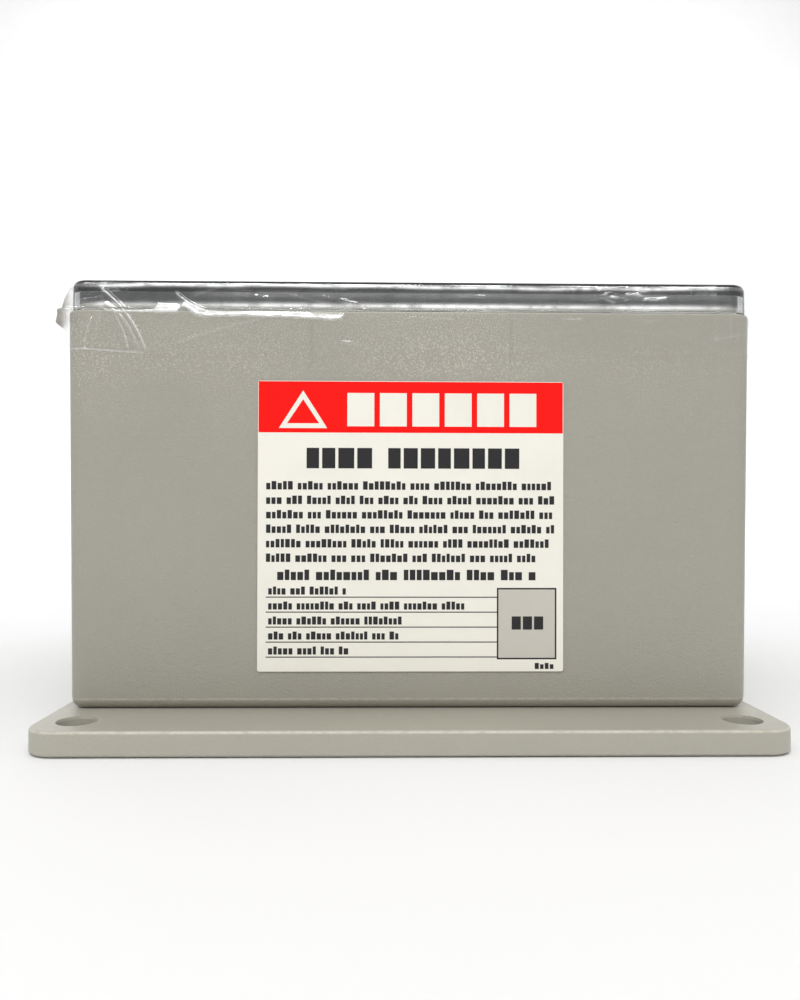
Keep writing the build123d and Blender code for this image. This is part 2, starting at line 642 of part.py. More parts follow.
with BuildPart() as panel_screws:
    with BuildSketch(up(PANEL_TOP)):
        with GridLocations(PANEL_SCREW_X, PANEL_SCREW_Y, 2, 2):
            Circle(PANEL_SCREW_HEAD_R)
    extrude(amount=PANEL_SCREW_HEAD_HEIGHT)
    with BuildSketch(up(PANEL_TOP)):
        with GridLocations(PANEL_SCREW_X, PANEL_SCREW_Y, 2, 2):
            Circle(PANEL_SCREW_R)
    extrude(amount=-PANEL_SCREW_LENGTH)
    with BuildSketch(up(PANEL_TOP + PANEL_SCREW_HEAD_HEIGHT)):
        with GridLocations(PANEL_SCREW_X, PANEL_SCREW_Y, 2, 2):
            Rectangle(RECESS_LENGTH, RECESS_WIDTH)
            Rectangle(RECESS_WIDTH, RECESS_LENGTH)
    extrude(amount=-RECESS_DEPTH, mode=Mode.SUBTRACT)
save(panel_screws, "panel_screws")

# ---------------------------------------------------------------- main board
with BuildPart() as board_standoffs:
    with BuildSketch(up(PANEL_TOP)):
        with Locations((0, BOARD_CENTRE)):
            with GridLocations(BOARD_SCREW_X, BOARD_SCREW_Y, 2, 2):
                RegularPolygon(STANDOFF_HEX / 2, 6, major_radius=False)
                Circle(SMALL_SCREW_R + RUNNING_GAP, mode=Mode.SUBTRACT)
    extrude(amount=STANDOFF_HEIGHT)
save(board_standoffs, "board_standoffs")

with BuildPart() as main_board:
    with BuildSketch(up(BOARD_Z)):
        with Locations((0, BOARD_CENTRE)):
            RectangleRounded(BOARD_WIDTH, BOARD_LENGTH, BOARD_CORNER_R)
            with GridLocations(BOARD_SCREW_X, BOARD_SCREW_Y, 2, 2):
                Circle(SMALL_SCREW_R + SMALL_HOLE_GAP, mode=Mode.SUBTRACT)
        with Locations((0, SPACER_Y)):
            with GridLocations(2 * SPACER_X, SPACER_PITCH_Y, 2, 2):
                Circle(SMALL_SCREW_R + SMALL_HOLE_GAP, mode=Mode.SUBTRACT)
    extrude(amount=BOARD_THICK)
save(main_board, "main_board")

# Four screws into the standoffs, and four nuts on the spacers' studs under the board.
with BuildPart() as board_fasteners:
    with BuildSketch(up(BOARD_TOP)):
        with Locations((0, BOARD_CENTRE)):
            with GridLocations(BOARD_SCREW_X, BOARD_SCREW_Y, 2, 2):
                Circle(SMALL_HEAD_R)
    extrude(amount=SMALL_HEAD_HEIGHT)
    with BuildSketch(up(BOARD_TOP)):
        with Locations((0, BOARD_CENTRE)):
            with GridLocations(BOARD_SCREW_X, BOARD_SCREW_Y, 2, 2):
                Circle(SMALL_SCREW_R)
    extrude(amount=-SMALL_SCREW_LENGTH)
    with BuildSketch(up(BOARD_TOP + SMALL_HEAD_HEIGHT)):
        with Locations((0, BOARD_CENTRE)):
            with GridLocations(BOARD_SCREW_X, BOARD_SCREW_Y, 2, 2):
                Rectangle(SMALL_RECESS_LENGTH, RECESS_WIDTH)
    extrude(amount=-RECESS_DEPTH, mode=Mode.SUBTRACT)
    with BuildSketch(up(BOARD_Z)):
        with Locations((0, SPACER_Y)):
            with GridLocations(2 * SPACER_X, SPACER_PITCH_Y, 2, 2):
                RegularPolygon(NUT_HEX / 2, 6, major_radius=False)
                Circle(SMALL_SCREW_R + RUNNING_GAP, mode=Mode.SUBTRACT)
    extrude(amount=-NUT_THICK)
save(board_fasteners, "board_fasteners")

# ---------------------------------------------------------------- varistor modules
SLIDER_Z = BOARD_TOP + SLIDER_BOTTOM
SLIDER_TOP = SLIDER_Z + SLIDER_HEIGHT
SHOULDER_Z = SLIDER_TOP - SLIDER_SHOULDER
HOOK_Z = SHOULDER_Z + TRIP_TRAVEL + RAIL_GAP
MODULE_FLOOR = BOARD_TOP + MODULE_WALL
RAIL_Y = SLIDER_WIDTH / 2 + RAIL_GAP + RAIL_THICK / 2
VARISTOR_Z = MODULE_FLOOR + VARISTOR_GAP
SPRING_Z = MODULE_FLOOR + SPRING_END_GAP
SPRING_HEIGHT = SLIDER_Z - SPRING_Z - SPRING_END_GAP - 2 * SPRING_WIRE_R

for phase, x in zip(PHASES, MODULE_X):
    # The housing's floor carries the spring's guide pin. Two rails keep the slider in line, and
    # a hook at the top of each stops the slider's shoulders at the end of its travel.
    with BuildPart() as varistor_housing:
        with BuildSketch(up(BOARD_TOP)):
            with Locations((x, MODULE_Y)):
                RectangleRounded(MODULE_WIDTH, MODULE_LENGTH, MODULE_WALL)
        extrude(amount=MODULE_HEIGHT)
        with BuildSketch(up(MODULE_FLOOR)):
            with Locations((x, MODULE_Y)):
                Rectangle(2 * MODULE_INNER, MODULE_LENGTH - 2 * MODULE_WALL)
        extrude(amount=MODULE_HEIGHT, mode=Mode.SUBTRACT)
        with BuildSketch(up(MODULE_FLOOR)):
            with Locations((x + SLIDER_X, MODULE_Y)):
                Circle(SPRING_PIN_R)
        extrude(amount=SPRING_PIN_HEIGHT)
        rail_reach = SLIDER_WALL_GAP + SLIDER_THICK
        with BuildSketch(up(MODULE_FLOOR)):
            with Locations((x - MODULE_INNER + rail_reach / 2, MODULE_Y)):
                with GridLocations(0, 2 * RAIL_Y, 1, 2):
                    Rectangle(rail_reach, RAIL_THICK)
        extrude(amount=HOOK_Z + HOOK_THICK - MODULE_FLOOR)
        with BuildSketch(up(HOOK_Z)):
            with Locations((x - MODULE_INNER + rail_reach / 2, MODULE_Y)):
                with GridLocations(0, 2 * RAIL_Y - HOOK_DEPTH, 1, 2):
                    Rectangle(rail_reach, RAIL_THICK + HOOK_DEPTH)
        extrude(amount=HOOK_THICK)
        with BuildSketch(up(BOARD_TOP)):
            with Locations((x + TAB_X, MODULE_Y - TAB_OFFSET)):
                Rectangle(TAB_THICK + 2 * RUNNING_GAP, TAB_WIDTH + 2 * RUNNING_GAP)
        extrude(amount=MODULE_WALL, mode=Mode.SUBTRACT)
    save(varistor_housing, f"varistor_housing_{phase}")

    # A coated square disc standing on edge, with a copper tab on the face towards the slider.
    with BuildPart() as varistor:
        with BuildSketch(up(VARISTOR_Z)):
            with Locations((x + VARISTOR_X, MODULE_Y)):
                Rectangle(VARISTOR_THICK, VARISTOR_SIDE)
        extrude(amount=VARISTOR_SIDE)
        fillet(varistor.edges(), VARISTOR_EDGE_R)
        tab_depth = VARISTOR_X - VARISTOR_THICK / 2 - TAB_X + TAB_THICK / 2
        with BuildSketch(up(BRIDGE_Z - BRIDGE_HEIGHT / 2)):
            with Locations((x + TAB_X - TAB_THICK / 2 + tab_depth / 2, MODULE_Y + TAB_OFFSET)):
                Rectangle(tab_depth, TAB_WIDTH)
        extrude(amount=BRIDGE_HEIGHT)
    save(varistor, f"varistor_{phase}")

    with BuildPart() as disconnect_slider:
        with BuildSketch(up(SLIDER_Z)):
            with Locations((x + SLIDER_X, MODULE_Y)):
                Rectangle(SLIDER_THICK, SLIDER_WIDTH)
        extrude(amount=SLIDER_HEIGHT - SLIDER_SHOULDER)
        with BuildSketch(up(SHOULDER_Z)):
            with Locations((x + SLIDER_X, MODULE_Y)):
                Rectangle(SLIDER_THICK, SLIDER_FLAG)
        extrude(amount=SLIDER_SHOULDER)
    save(disconnect_slider, f"disconnect_slider_{phase}")

    with BuildPart() as bridge_contact:
        with BuildSketch(up(BRIDGE_Z - BRIDGE_HEIGHT / 2)):
            with Locations((x + BRIDGE_X, MODULE_Y)):
                Rectangle(BRIDGE_THICK, BRIDGE_LENGTH)
        extrude(amount=BRIDGE_HEIGHT)
    save(bridge_contact, f"bridge_contact_{phase}")

    with BuildPart() as trip_spring:
        with BuildLine() as coil:
            Helix(
                pitch=SPRING_HEIGHT / SPRING_TURNS,
                height=SPRING_HEIGHT,
                radius=SPRING_R,
                center=(x + SLIDER_X, MODULE_Y, SPRING_Z + SPRING_WIRE_R),
            )
        with BuildSketch(Plane(origin=coil.line @ 0, z_dir=coil.line % 0)):
            Circle(SPRING_WIRE_R)
        sweep(path=coil.line, is_frenet=True)
    save(trip_spring, f"trip_spring_{phase}")

# One fixed blade in each module brings the line up from the board to the bridge contact.
with BuildPart() as line_tabs:
    with BuildSketch(up(BOARD_TOP)):
        for x in MODULE_X:
            with Locations((x + TAB_X, MODULE_Y - TAB_OFFSET)):
                Rectangle(TAB_THICK, TAB_WIDTH)
    extrude(amount=BRIDGE_Z + BRIDGE_HEIGHT / 2 - BOARD_TOP)
save(line_tabs, "line_tabs")

# ---------------------------------------------------------------- fuses and capacitors
FUSE_X = MODULE_X[:3]
with BuildPart() as fuses:
    for x in FUSE_X:
        with BuildSketch(along_y(FUSE_Y - FUSE_LENGTH / 2, x, FUSE_Z)):
            Circle(FUSE_TUBE_R)
        extrude(amount=FUSE_LENGTH)
        for start in (FUSE_Y - FUSE_LENGTH / 2, FUSE_Y + FUSE_LENGTH / 2 - FUSE_CAP_LENGTH):
            with BuildSketch(along_y(start, x, FUSE_Z)):
                Circle(FUSE_CAP_R)
            extrude(amount=FUSE_CAP_LENGTH)
save(fuses, "fuses")

CLIP_INNER_R = FUSE_CAP_R + CLIP_GAP
CLIP_OUTER_R = CLIP_INNER_R + CLIP_THICK
CLIP_Y = (FUSE_LENGTH - FUSE_CAP_LENGTH) / 2
with BuildPart() as fuse_clips:
    for x in FUSE_X:
        for y in (FUSE_Y - CLIP_Y, FUSE_Y + CLIP_Y):
            with BuildSketch(along_y(y - CLIP_LENGTH / 2, x, FUSE_Z)):
                Circle(CLIP_OUTER_R)
                with Locations((0, (FUSE_HEIGHT + CLIP_INNER_R) / 2)):
                    Rectangle(CLIP_FOOT_WIDTH, FUSE_HEIGHT - CLIP_INNER_R)
                Circle(CLIP_INNER_R, mode=Mode.SUBTRACT)
                mouth = CLIP_OUTER_R * math.sin(math.radians(CLIP_MOUTH / 2))
                with Locations((0, -CLIP_OUTER_R)):
                    Rectangle(2 * mouth, CLIP_OUTER_R, mode=Mode.SUBTRACT)
            extrude(amount=CLIP_LENGTH)
save(fuse_clips, "fuse_clips")

with BuildPart() as filter_capacitors:
    width, length, height = CAPACITOR_SIZE
    with BuildSketch(up(BOARD_TOP)):
        with Locations((MODULE_X[3], FUSE_Y)):
            with GridLocations(0, CAPACITOR_PITCH, 1, 3):
                RectangleRounded(width, length, CAPACITOR_EDGE_R)
    extrude(amount=height)
    capacitor_tops = filter_capacitors.faces().filter_by(Plane.XY).group_by(Axis.Z)[-1]
    fillet(capacitor_tops.edges(), CAPACITOR_TOP_R)
save(filter_capacitors, "filter_capacitors")

# ---------------------------------------------------------------- terminal block
with BuildPart() as terminal_block:
    with BuildSketch(up(PANEL_TOP)):
        with Locations((0, BLOCK_Y)):
            Rectangle(BLOCK_WIDTH, BLOCK_LENGTH)
    extrude(amount=BLOCK_HEIGHT - BARRIER_HEIGHT)
    with BuildSketch(up(BLOCK_TOP - BARRIER_HEIGHT)):
        with Locations((0, BLOCK_Y)):
            with GridLocations(POLE_PITCH, 0, POLES + 1, 1):
                Rectangle(BARRIER_THICK, BLOCK_LENGTH)
    extrude(amount=BARRIER_HEIGHT)
    screw_floor = BLOCK_TOP - BARRIER_HEIGHT
    with Locations(up(screw_floor)):
        with Locations((0, BLOCK_Y)):
            with GridLocations(POLE_PITCH, BLOCK_LENGTH - 2 * TERMINAL_INSET, POLES, 2):
                Hole(TERMINAL_SCREW_R + RUNNING_GAP, depth=TERMINAL_SCREW_DEPTH)
    with BuildSketch(along_y(BLOCK_Y - BLOCK_LENGTH / 2, 0, LEAD_Z)):
        with GridLocations(POLE_PITCH, 0, POLES, 1):
            Circle(LEAD_R + LEAD_GAP)
    extrude(amount=LEAD_REACH, mode=Mode.SUBTRACT)
    with BuildSketch(along_y(BLOCK_Y + BLOCK_LENGTH / 2, 0, LEAD_Z)):
        with GridLocations(POLE_PITCH, 0, POLES, 1):
            Circle(LEAD_R + LEAD_GAP)
    extrude(amount=-LEAD_REACH, mode=Mode.SUBTRACT)
save(terminal_block, "terminal_block")

with BuildPart() as terminal_screws:
    with BuildSketch(up(screw_floor)):
        with Locations((0, BLOCK_Y)):
            with GridLocations(POLE_PITCH, BLOCK_LENGTH - 2 * TERMINAL_INSET, POLES, 2):
                Circle(TERMINAL_HEAD_R)
    extrude(amount=TERMINAL_HEAD_HEIGHT)
    with BuildSketch(up(screw_floor)):
        with Locations((0, BLOCK_Y)):
            with GridLocations(POLE_PITCH, BLOCK_LENGTH - 2 * TERMINAL_INSET, POLES, 2):
                Circle(TERMINAL_SCREW_R)
    extrude(amount=-TERMINAL_SCREW_DEPTH)
    with BuildSketch(up(screw_floor + TERMINAL_HEAD_HEIGHT)):
        with Locations((0, BLOCK_Y)):
            with GridLocations(POLE_PITCH, BLOCK_LENGTH - 2 * TERMINAL_INSET, POLES, 2):
                Rectangle(RECESS_WIDTH, 2 * TERMINAL_HEAD_R)
    extrude(amount=-RECESS_DEPTH, mode=Mode.SUBTRACT)
save(terminal_screws, "terminal_screws")

# ---------------------------------------------------------------- status board
with BuildPart() as status_spacers:
    with BuildSketch(up(BOARD_TOP)):
        with Locations((0, SPACER_Y)):
            with GridLocations(2 * SPACER_X, SPACER_PITCH_Y, 2, 2):
                RegularPolygon(SPACER_HEX / 2, 6, major_radius=False)
    extrude(amount=STATUS_Z - BOARD_TOP)
    with BuildSketch(up(BOARD_TOP)):
        with Locations((0, SPACER_Y)):
            with GridLocations(2 * SPACER_X, SPACER_PITCH_Y, 2, 2):
                Circle(SMALL_SCREW_R)
    extrude(amount=-SPACER_STUD)
    with Locations(up(STATUS_Z)):
        with Locations((0, SPACER_Y)):
            with GridLocations(2 * SPACER_X, SPACER_PITCH_Y, 2, 2):
                Hole(SMALL_SCREW_R + RUNNING_GAP, depth=SMALL_SCREW_LENGTH)
save(status_spacers, "status_spacers")

with BuildPart() as status_board:
    with BuildSketch(up(STATUS_Z)):
        with Locations((0, SPACER_Y)):
            RectangleRounded(STATUS_WIDTH, STATUS_LENGTH, BOARD_CORNER_R)
            with GridLocations(2 * SPACER_X, SPACER_PITCH_Y, 2, 2):
                Circle(SMALL_SCREW_R + SMALL_HOLE_GAP, mode=Mode.SUBTRACT)
    extrude(amount=STATUS_THICK)
save(status_board, "status_board")

with BuildPart() as status_screws:
    with BuildSketch(up(STATUS_TOP)):
        with Locations((0, SPACER_Y)):
            with GridLocations(2 * SPACER_X, SPACER_PITCH_Y, 2, 2):
                Circle(SMALL_HEAD_R)
    extrude(amount=SMALL_HEAD_HEIGHT)
    with BuildSketch(up(STATUS_TOP)):
        with Locations((0, SPACER_Y)):
            with GridLocations(2 * SPACER_X, SPACER_PITCH_Y, 2, 2):
                Circle(SMALL_SCREW_R)
    extrude(amount=-SMALL_SCREW_LENGTH)
    with BuildSketch(up(STATUS_TOP + SMALL_HEAD_HEIGHT)):
        with Locations((0, SPACER_Y)):
            with GridLocations(2 * SPACER_X, SPACER_PITCH_Y, 2, 2):
                Rectangle(SMALL_RECESS_LENGTH, RECESS_WIDTH)
                Rectangle(RECESS_WIDTH, SMALL_RECESS_LENGTH)
    extrude(amount=-RECESS_DEPTH, mode=Mode.SUBTRACT)
save(status_screws, "status_screws")

STATUS_FRONT = SPACER_Y - STATUS_LENGTH / 2
LED_Y = STATUS_FRONT + LED_INSET
with BuildPart() as status_leds:
    with BuildSketch(up(STATUS_TOP)):
        with Locations((0, LED_Y)):
            with GridLocations(LED_PITCH, 0, len(PHASES), 1):
                Circle(LED_FLANGE_R)
    extrude(amount=LED_FLANGE_HEIGHT)
    with BuildSketch(up(STATUS_TOP)):
        with Locations((0, LED_Y)):
            with GridLocations(LED_PITCH, 0, len(PHASES), 1):
                Circle(LED_R)
    extrude(amount=LED_HEIGHT)
    led_tips = status_leds.faces().filter_by(Plane.XY).group_by(Axis.Z)[-1].edges()
    fillet(led_tips, LED_R - LED_TIP_FLAT)
save(status_leds, "status_leds")

with BuildPart() as status_parts:
    with BuildSketch(up(STATUS_TOP)):
        with Locations((0, LED_Y + RESISTOR_LED_PITCH)):
            with GridLocations(LED_PITCH, 0, len(PHASES), 1):
                Rectangle(RESISTOR_SIZE[0], RESISTOR_SIZE[1])
    extrude(amount=RESISTOR_SIZE[2])
    with BuildSketch(up(STATUS_TOP)):
        with Locations((-(RELAY_SIZE[0] + RELAY_GAP) / 2, SPACER_Y + RELAY_OFFSET)):
            RectangleRounded(RELAY_SIZE[0], RELAY_SIZE[1], RELAY_EDGE_R)
    extrude(amount=RELAY_SIZE[2])
    with BuildSketch(up(STATUS_TOP)):
        with Locations((RELAY_GAP / 2 + BUZZER_R, SPACER_Y + RELAY_OFFSET)):
            Circle(BUZZER_R)
    extrude(amount=BUZZER_HEIGHT)
save(status_parts, "status_parts")

# A header on the main board and one under the status board, joined by a bowed four-wire loom.
with BuildPart() as harness_headers:
    with BuildSketch(up(BOARD_TOP)):
        with Locations((0, HEADER_Y)):
            Rectangle(HEADER_SIZE[0], HEADER_SIZE[1])
    extrude(amount=HEADER_SIZE[2])
    with BuildSketch(up(STATUS_Z)):
        with Locations((0, HEADER_Y)):
            Rectangle(HEADER_SIZE[0], HEADER_SIZE[1])
    extrude(amount=-HEADER_SIZE[2])
save(harness_headers, "harness_headers")


def arc_radii(points):
    """For each corner, 0.45 of its shorter run divided by the tangent of half the turn."""
    radii = []
    for before, corner, after in zip(points, points[1:], points[2:]):
        arriving = Vector(*corner) - Vector(*before)
        leaving = Vector(*after) - Vector(*corner)
        turn = math.radians(arriving.get_angle(leaving))
        radii.append(0.45 * min(arriving.length, leaving.length) / math.tan(turn / 2))
    return radii


def wire(points, radius):
    """Sweep a round wire along straight runs joined by arcs, inside the open part."""
    with BuildLine() as route:
        FilletPolyline(*points, radius=arc_radii(points))
    with BuildSketch(Plane(origin=route.line @ 0, z_dir=route.line % 0)) as section:
        Circle(radius)
    sweep(sections=section.sketch, path=route.line)


LOOM_LOW = BOARD_TOP + HEADER_SIZE[2]
LOOM_HIGH = STATUS_Z - HEADER_SIZE[2]
LOOM_THIRD = (LOOM_HIGH - LOOM_LOW) / 3
with BuildPart() as status_harness:
    for i in range(HARNESS_WIRES):
        x = (i - (HARNESS_WIRES - 1) / 2) * HARNESS_PITCH
        wire(
            [
                (x, HEADER_Y, LOOM_LOW),
                (x, HEADER_Y, LOOM_LOW + HARNESS_STRAIGHT),
                (x, HEADER_Y + HARNESS_BOW, LOOM_LOW + LOOM_THIRD),
                (x, HEADER_Y + HARNESS_BOW, LOOM_HIGH - LOOM_THIRD),
                (x, HEADER_Y, LOOM_HIGH - HARNESS_STRAIGHT),
                (x, HEADER_Y, LOOM_HIGH),
            ],
            HARNESS_R,
        )
save(status_harness, "status_harness")

# ---------------------------------------------------------------- leads
BLOCK_FACE = BLOCK_Y - BLOCK_LENGTH / 2


def pole_lead(x):
    """A lead soldered upright into the board and clamped in the terminal block at x."""
    wire(
        [(x, LEAD_Y, BOARD_TOP), (x, LEAD_Y, LEAD_Z), (x, BLOCK_FACE + LEAD_REACH, LEAD_Z)],
        LEAD_R,
    )


with BuildPart() as phase_leads:
    pole_lead(POLE_X[0])
    pole_lead(POLE_X[2])
save(phase_leads, "phase_leads")

with BuildPart() as phase_b_lead:
    pole_lead(POLE_X[1])
save(phase_b_lead, "phase_b_lead")

with BuildPart() as neutral_lead:
    pole_lead(POLE_X[3])
save(neutral_lead, "neutral_lead")

LUG_Z = PANEL_TOP + LUG_THICK
BARREL_Y = STUD_Y - LUG_BARREL_OFFSET
with BuildPart() as ground_leads:
    pole_lead(POLE_X[4])
    wire(
        [
            (GROUND_LEAD_X, LEAD_Y, BOARD_TOP),
            (GROUND_LEAD_X, LEAD_Y, BOARD_TOP + GROUND_LOOP),
            (GROUND_LEAD_X, BARREL_Y, BOARD_TOP + GROUND_LOOP),
            (GROUND_LEAD_X, BARREL_Y, LUG_Z + LUG_BARREL_HEIGHT),
        ],
        LEAD_R,
    )
save(ground_leads, "ground_leads")

with BuildPart() as ground_stud:
    with BuildSketch(up(PANEL_TOP)):
        with Locations((GROUND_LEAD_X, STUD_Y)):
            Circle(STUD_R)
    extrude(amount=STUD_HEIGHT)
    with BuildSketch(up(LUG_Z)):
        with Locations((GROUND_LEAD_X, STUD_Y)):
            RegularPolygon(STUD_NUT_HEX / 2, 6, major_radius=False)
    extrude(amount=STUD_NUT_THICK)
save(ground_stud, "ground_stud")

with BuildPart() as ground_lug:
    with BuildSketch(up(PANEL_TOP)):
        with Locations((GROUND_LEAD_X, STUD_Y)):
            Circle(LUG_R)
        with Locations((GROUND_LEAD_X, STUD_Y - LUG_BARREL_OFFSET / 2)):
            Rectangle(2 * LUG_BARREL_R, LUG_BARREL_OFFSET)
        with Locations((GROUND_LEAD_X, BARREL_Y)):
            Circle(LUG_BARREL_R)
        with Locations((GROUND_LEAD_X, STUD_Y)):
            Circle(STUD_R + RUNNING_GAP, mode=Mode.SUBTRACT)
    extrude(amount=LUG_THICK)
    with BuildSketch(up(PANEL_TOP + LUG_THICK)):
        with Locations((GROUND_LEAD_X, BARREL_Y)):
            Circle(LUG_BARREL_R)
    extrude(amount=LUG_BARREL_HEIGHT)
save(ground_lug, "ground_lug")
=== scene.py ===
import math

import bpy
import numpy as np
from bpy.props import FloatProperty, FloatVectorProperty, IntProperty, PointerProperty
from mathutils import Matrix, Vector


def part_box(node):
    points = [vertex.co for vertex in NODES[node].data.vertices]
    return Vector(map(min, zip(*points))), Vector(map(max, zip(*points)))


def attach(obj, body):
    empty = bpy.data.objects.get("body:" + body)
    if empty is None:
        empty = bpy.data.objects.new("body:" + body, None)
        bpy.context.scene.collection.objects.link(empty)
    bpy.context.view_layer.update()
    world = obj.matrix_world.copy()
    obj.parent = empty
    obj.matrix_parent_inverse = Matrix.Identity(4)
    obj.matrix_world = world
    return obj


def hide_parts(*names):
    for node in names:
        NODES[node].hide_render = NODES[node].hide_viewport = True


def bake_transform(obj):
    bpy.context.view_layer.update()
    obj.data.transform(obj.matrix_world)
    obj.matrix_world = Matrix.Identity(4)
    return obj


bl_info = {
    "name": "Surge Protective Device",
    "version": (1, 0, 0),
    "blender": (4, 5, 0),
    "location": "3D View > Sidebar > Surge Device",
    "description": "Builds the looks of a boxed surge protective device around its packed frame",
    "category": "Object",
}

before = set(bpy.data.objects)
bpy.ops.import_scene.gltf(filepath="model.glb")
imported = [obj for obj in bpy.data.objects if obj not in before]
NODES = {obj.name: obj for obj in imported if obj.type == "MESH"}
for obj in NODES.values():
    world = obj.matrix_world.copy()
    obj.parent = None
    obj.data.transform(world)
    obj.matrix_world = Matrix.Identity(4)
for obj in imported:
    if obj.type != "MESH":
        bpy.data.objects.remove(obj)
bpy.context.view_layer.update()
MM = 0.001

BOX_LOW, BOX_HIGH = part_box("enclosure_box")
COVER_LOW, COVER_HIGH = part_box("clear_cover")
PLATE_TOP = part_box("mounting_plate")[1].z
LABEL_LOW, LABEL_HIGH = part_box("front_label")
TONGUE_RISE = 2.0 * MM
RIM_Z = BOX_HIGH.z - TONGUE_RISE
DRAFT_ANGLE = math.radians(1.0)
DRAFT = math.tan(DRAFT_ANGLE)


# ------------------------------------------------------------------ meshes
def quads(rows, columns, wrap_rows=False, wrap_columns=False):
    """Vertex numbers of the quads of a grid: each cell joins a point, the next one along its
    row, and the two above them. A wrapped direction also joins its last line to its first."""
    r = np.arange(rows if wrap_rows else rows - 1)
    c = np.arange(columns if wrap_columns else columns - 1)
    r, c = np.meshgrid(r, c, indexing="ij")
    up, right = (r + 1) % rows, (c + 1) % columns
    corners = [r * columns + c, r * columns + right, up * columns + right, up * columns + c]
    return np.stack(corners, -1).reshape(-1, 4)


def new_piece(name, points, faces, material, body, smooth=True):
    """A mesh object from an array of points and a list of faces, which rides on a CAD body, or
    on none."""
    mesh = bpy.data.meshes.new(name)
    mesh.from_pydata(np.asarray(points).reshape(-1, 3), [], [list(f) for f in faces])
    mesh.polygons.foreach_set("use_smooth", np.full(len(mesh.polygons), smooth))
    mesh.update()
    piece = bpy.data.objects.new(name, mesh)
    bpy.context.scene.collection.objects.link(piece)
    mesh.materials.append(material)
    if body:
        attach(piece, body)
    return piece


def paint_points(piece, name, values):
    """Stores one number a point on the mesh, for a material to read by name."""
    layer = piece.data.attributes.new(name, "FLOAT", "POINT")
    layer.data.foreach_set("value", np.asarray(values, dtype=np.float32).ravel())


def smoothstep(low, high, x):
    """0 below low, 1 above high, and the cubic 3t^2 - 2t^3 between them."""
    t = np.clip((x - low) / (high - low), 0.0, 1.0)
    return t * t * (3.0 - 2.0 * t)


def rounded_slab(sizes, radius):
    """Points and faces of one flat slab: a rectangle with round corners, of the given sizes."""
    half = np.array(sizes[:2]) / 2 - radius
    turn = np.linspace(0, math.pi / 2, 4)
    outline = []
    for k, (sx, sy) in enumerate(((1, 1), (-1, 1), (-1, -1), (1, -1))):
        angle = turn + k * math.pi / 2
        x, y = sx * half[0] + radius * np.cos(angle), sy * half[1] + radius * np.sin(angle)
        outline.append(np.stack([x, y], -1))
    ring = np.concatenate(outline)
    count = len(ring)
    low = np.column_stack([ring, np.zeros(count)])
    high = np.column_stack([ring, np.full(count, sizes[2])])
    sides = quads(2, count, wrap_columns=True)
    top = list(range(count, 2 * count))
    return np.concatenate([low, high]), [*map(list, sides), top]


# ------------------------------------------------------------------ shader nodes
class Paint:
    """Builds one material's node tree: add() makes a node, sets its inputs or links them."""

    def __init__(self, name):
        self.material = bpy.data.materials.new(name)
        self.material.use_nodes = True
        self.tree = self.material.node_tree
        self.shader = self.tree.nodes["Principled BSDF"]

    def add(self, kind, inputs=None, **settings):
        node = self.tree.nodes.new(kind)
        for key, value in settings.items():
            setattr(node, key, value)
        self.feed(node, inputs or {})
        return node

    def feed(self, node, inputs):
        for key, value in inputs.items():
            if isinstance(value, bpy.types.NodeSocket):
                self.tree.links.new(value, node.inputs[key])
            else:
                node.inputs[key].default_value = value

    def group(self, tree, **inputs):
        node = self.tree.nodes.new("ShaderNodeGroup")
        node.node_tree = tree
        self.feed(node, {k.replace("_", " "): v for k, v in inputs.items()})
        return node.outputs

    def mottled(self, low, high, scale, roughness, spread):
        """A colour that drifts from low to high and a roughness that drifts with it."""
        return self.group(effect("mottle"), Shade_A=low, Shade_B=high, Scale=scale,
                          Roughness=roughness, Spread=spread)

    def surface(self, **inputs):
        self.feed(self.shader, {k.replace("_", " "): v for k, v in inputs.items()})
        return self.material

    def place(self):
        return self.add("ShaderNodeTexCoord").outputs["Object"]

    def math(self, operation, a, b=0.0, clamp=False):
        return self.add("ShaderNodeMath", {0: a, 1: b}, operation=operation, use_clamp=clamp).outputs[0]

    def times(self, a, b):
        return self.math("MULTIPLY", a, b)

    def minus(self, a, b):
        return self.math("SUBTRACT", a, b)

    def mix(self, factor, a, b):
        node = self.add("ShaderNodeMix", {0: factor, 6: a, 7: b}, data_type="RGBA")
        return node.outputs[2]

    def ramp(self, value, low, high, out_low=0.0, out_high=1.0):
        inputs = {0: value, 1: low, 2: high, 3: out_low, 4: out_high}
        return self.add("ShaderNodeMapRange", inputs, interpolation_type="SMOOTHSTEP").outputs[0]

    def axis(self, number):
        """One coordinate of the place: 0 is x, 1 is y and 2 is z."""
        return self.add("ShaderNodeSeparateXYZ", {0: self.place()}).outputs[number]

    def noise(self, vector, scale, detail=2.0, roughness=0.5, distortion=0.0):
        inputs = {"Vector": vector, "Scale": scale, "Detail": detail}
        inputs.update({"Roughness": roughness, "Distortion": distortion})
        return self.add("ShaderNodeTexNoise", inputs).outputs["Fac"]

    def cloud(self, scale, detail=2.0, roughness=0.5, distortion=0.0):
        """Noise at the object's own coordinates."""
        return self.noise(self.place(), scale, detail, roughness, distortion)

    def bump(self, height, strength=1.0, distance=0.0001, normal=None):
        inputs = {"Height": height, "Strength": strength, "Distance": distance}
        if normal is not None:
            inputs["Normal"] = normal
        return self.add("ShaderNodeBump", inputs).outputs[0]


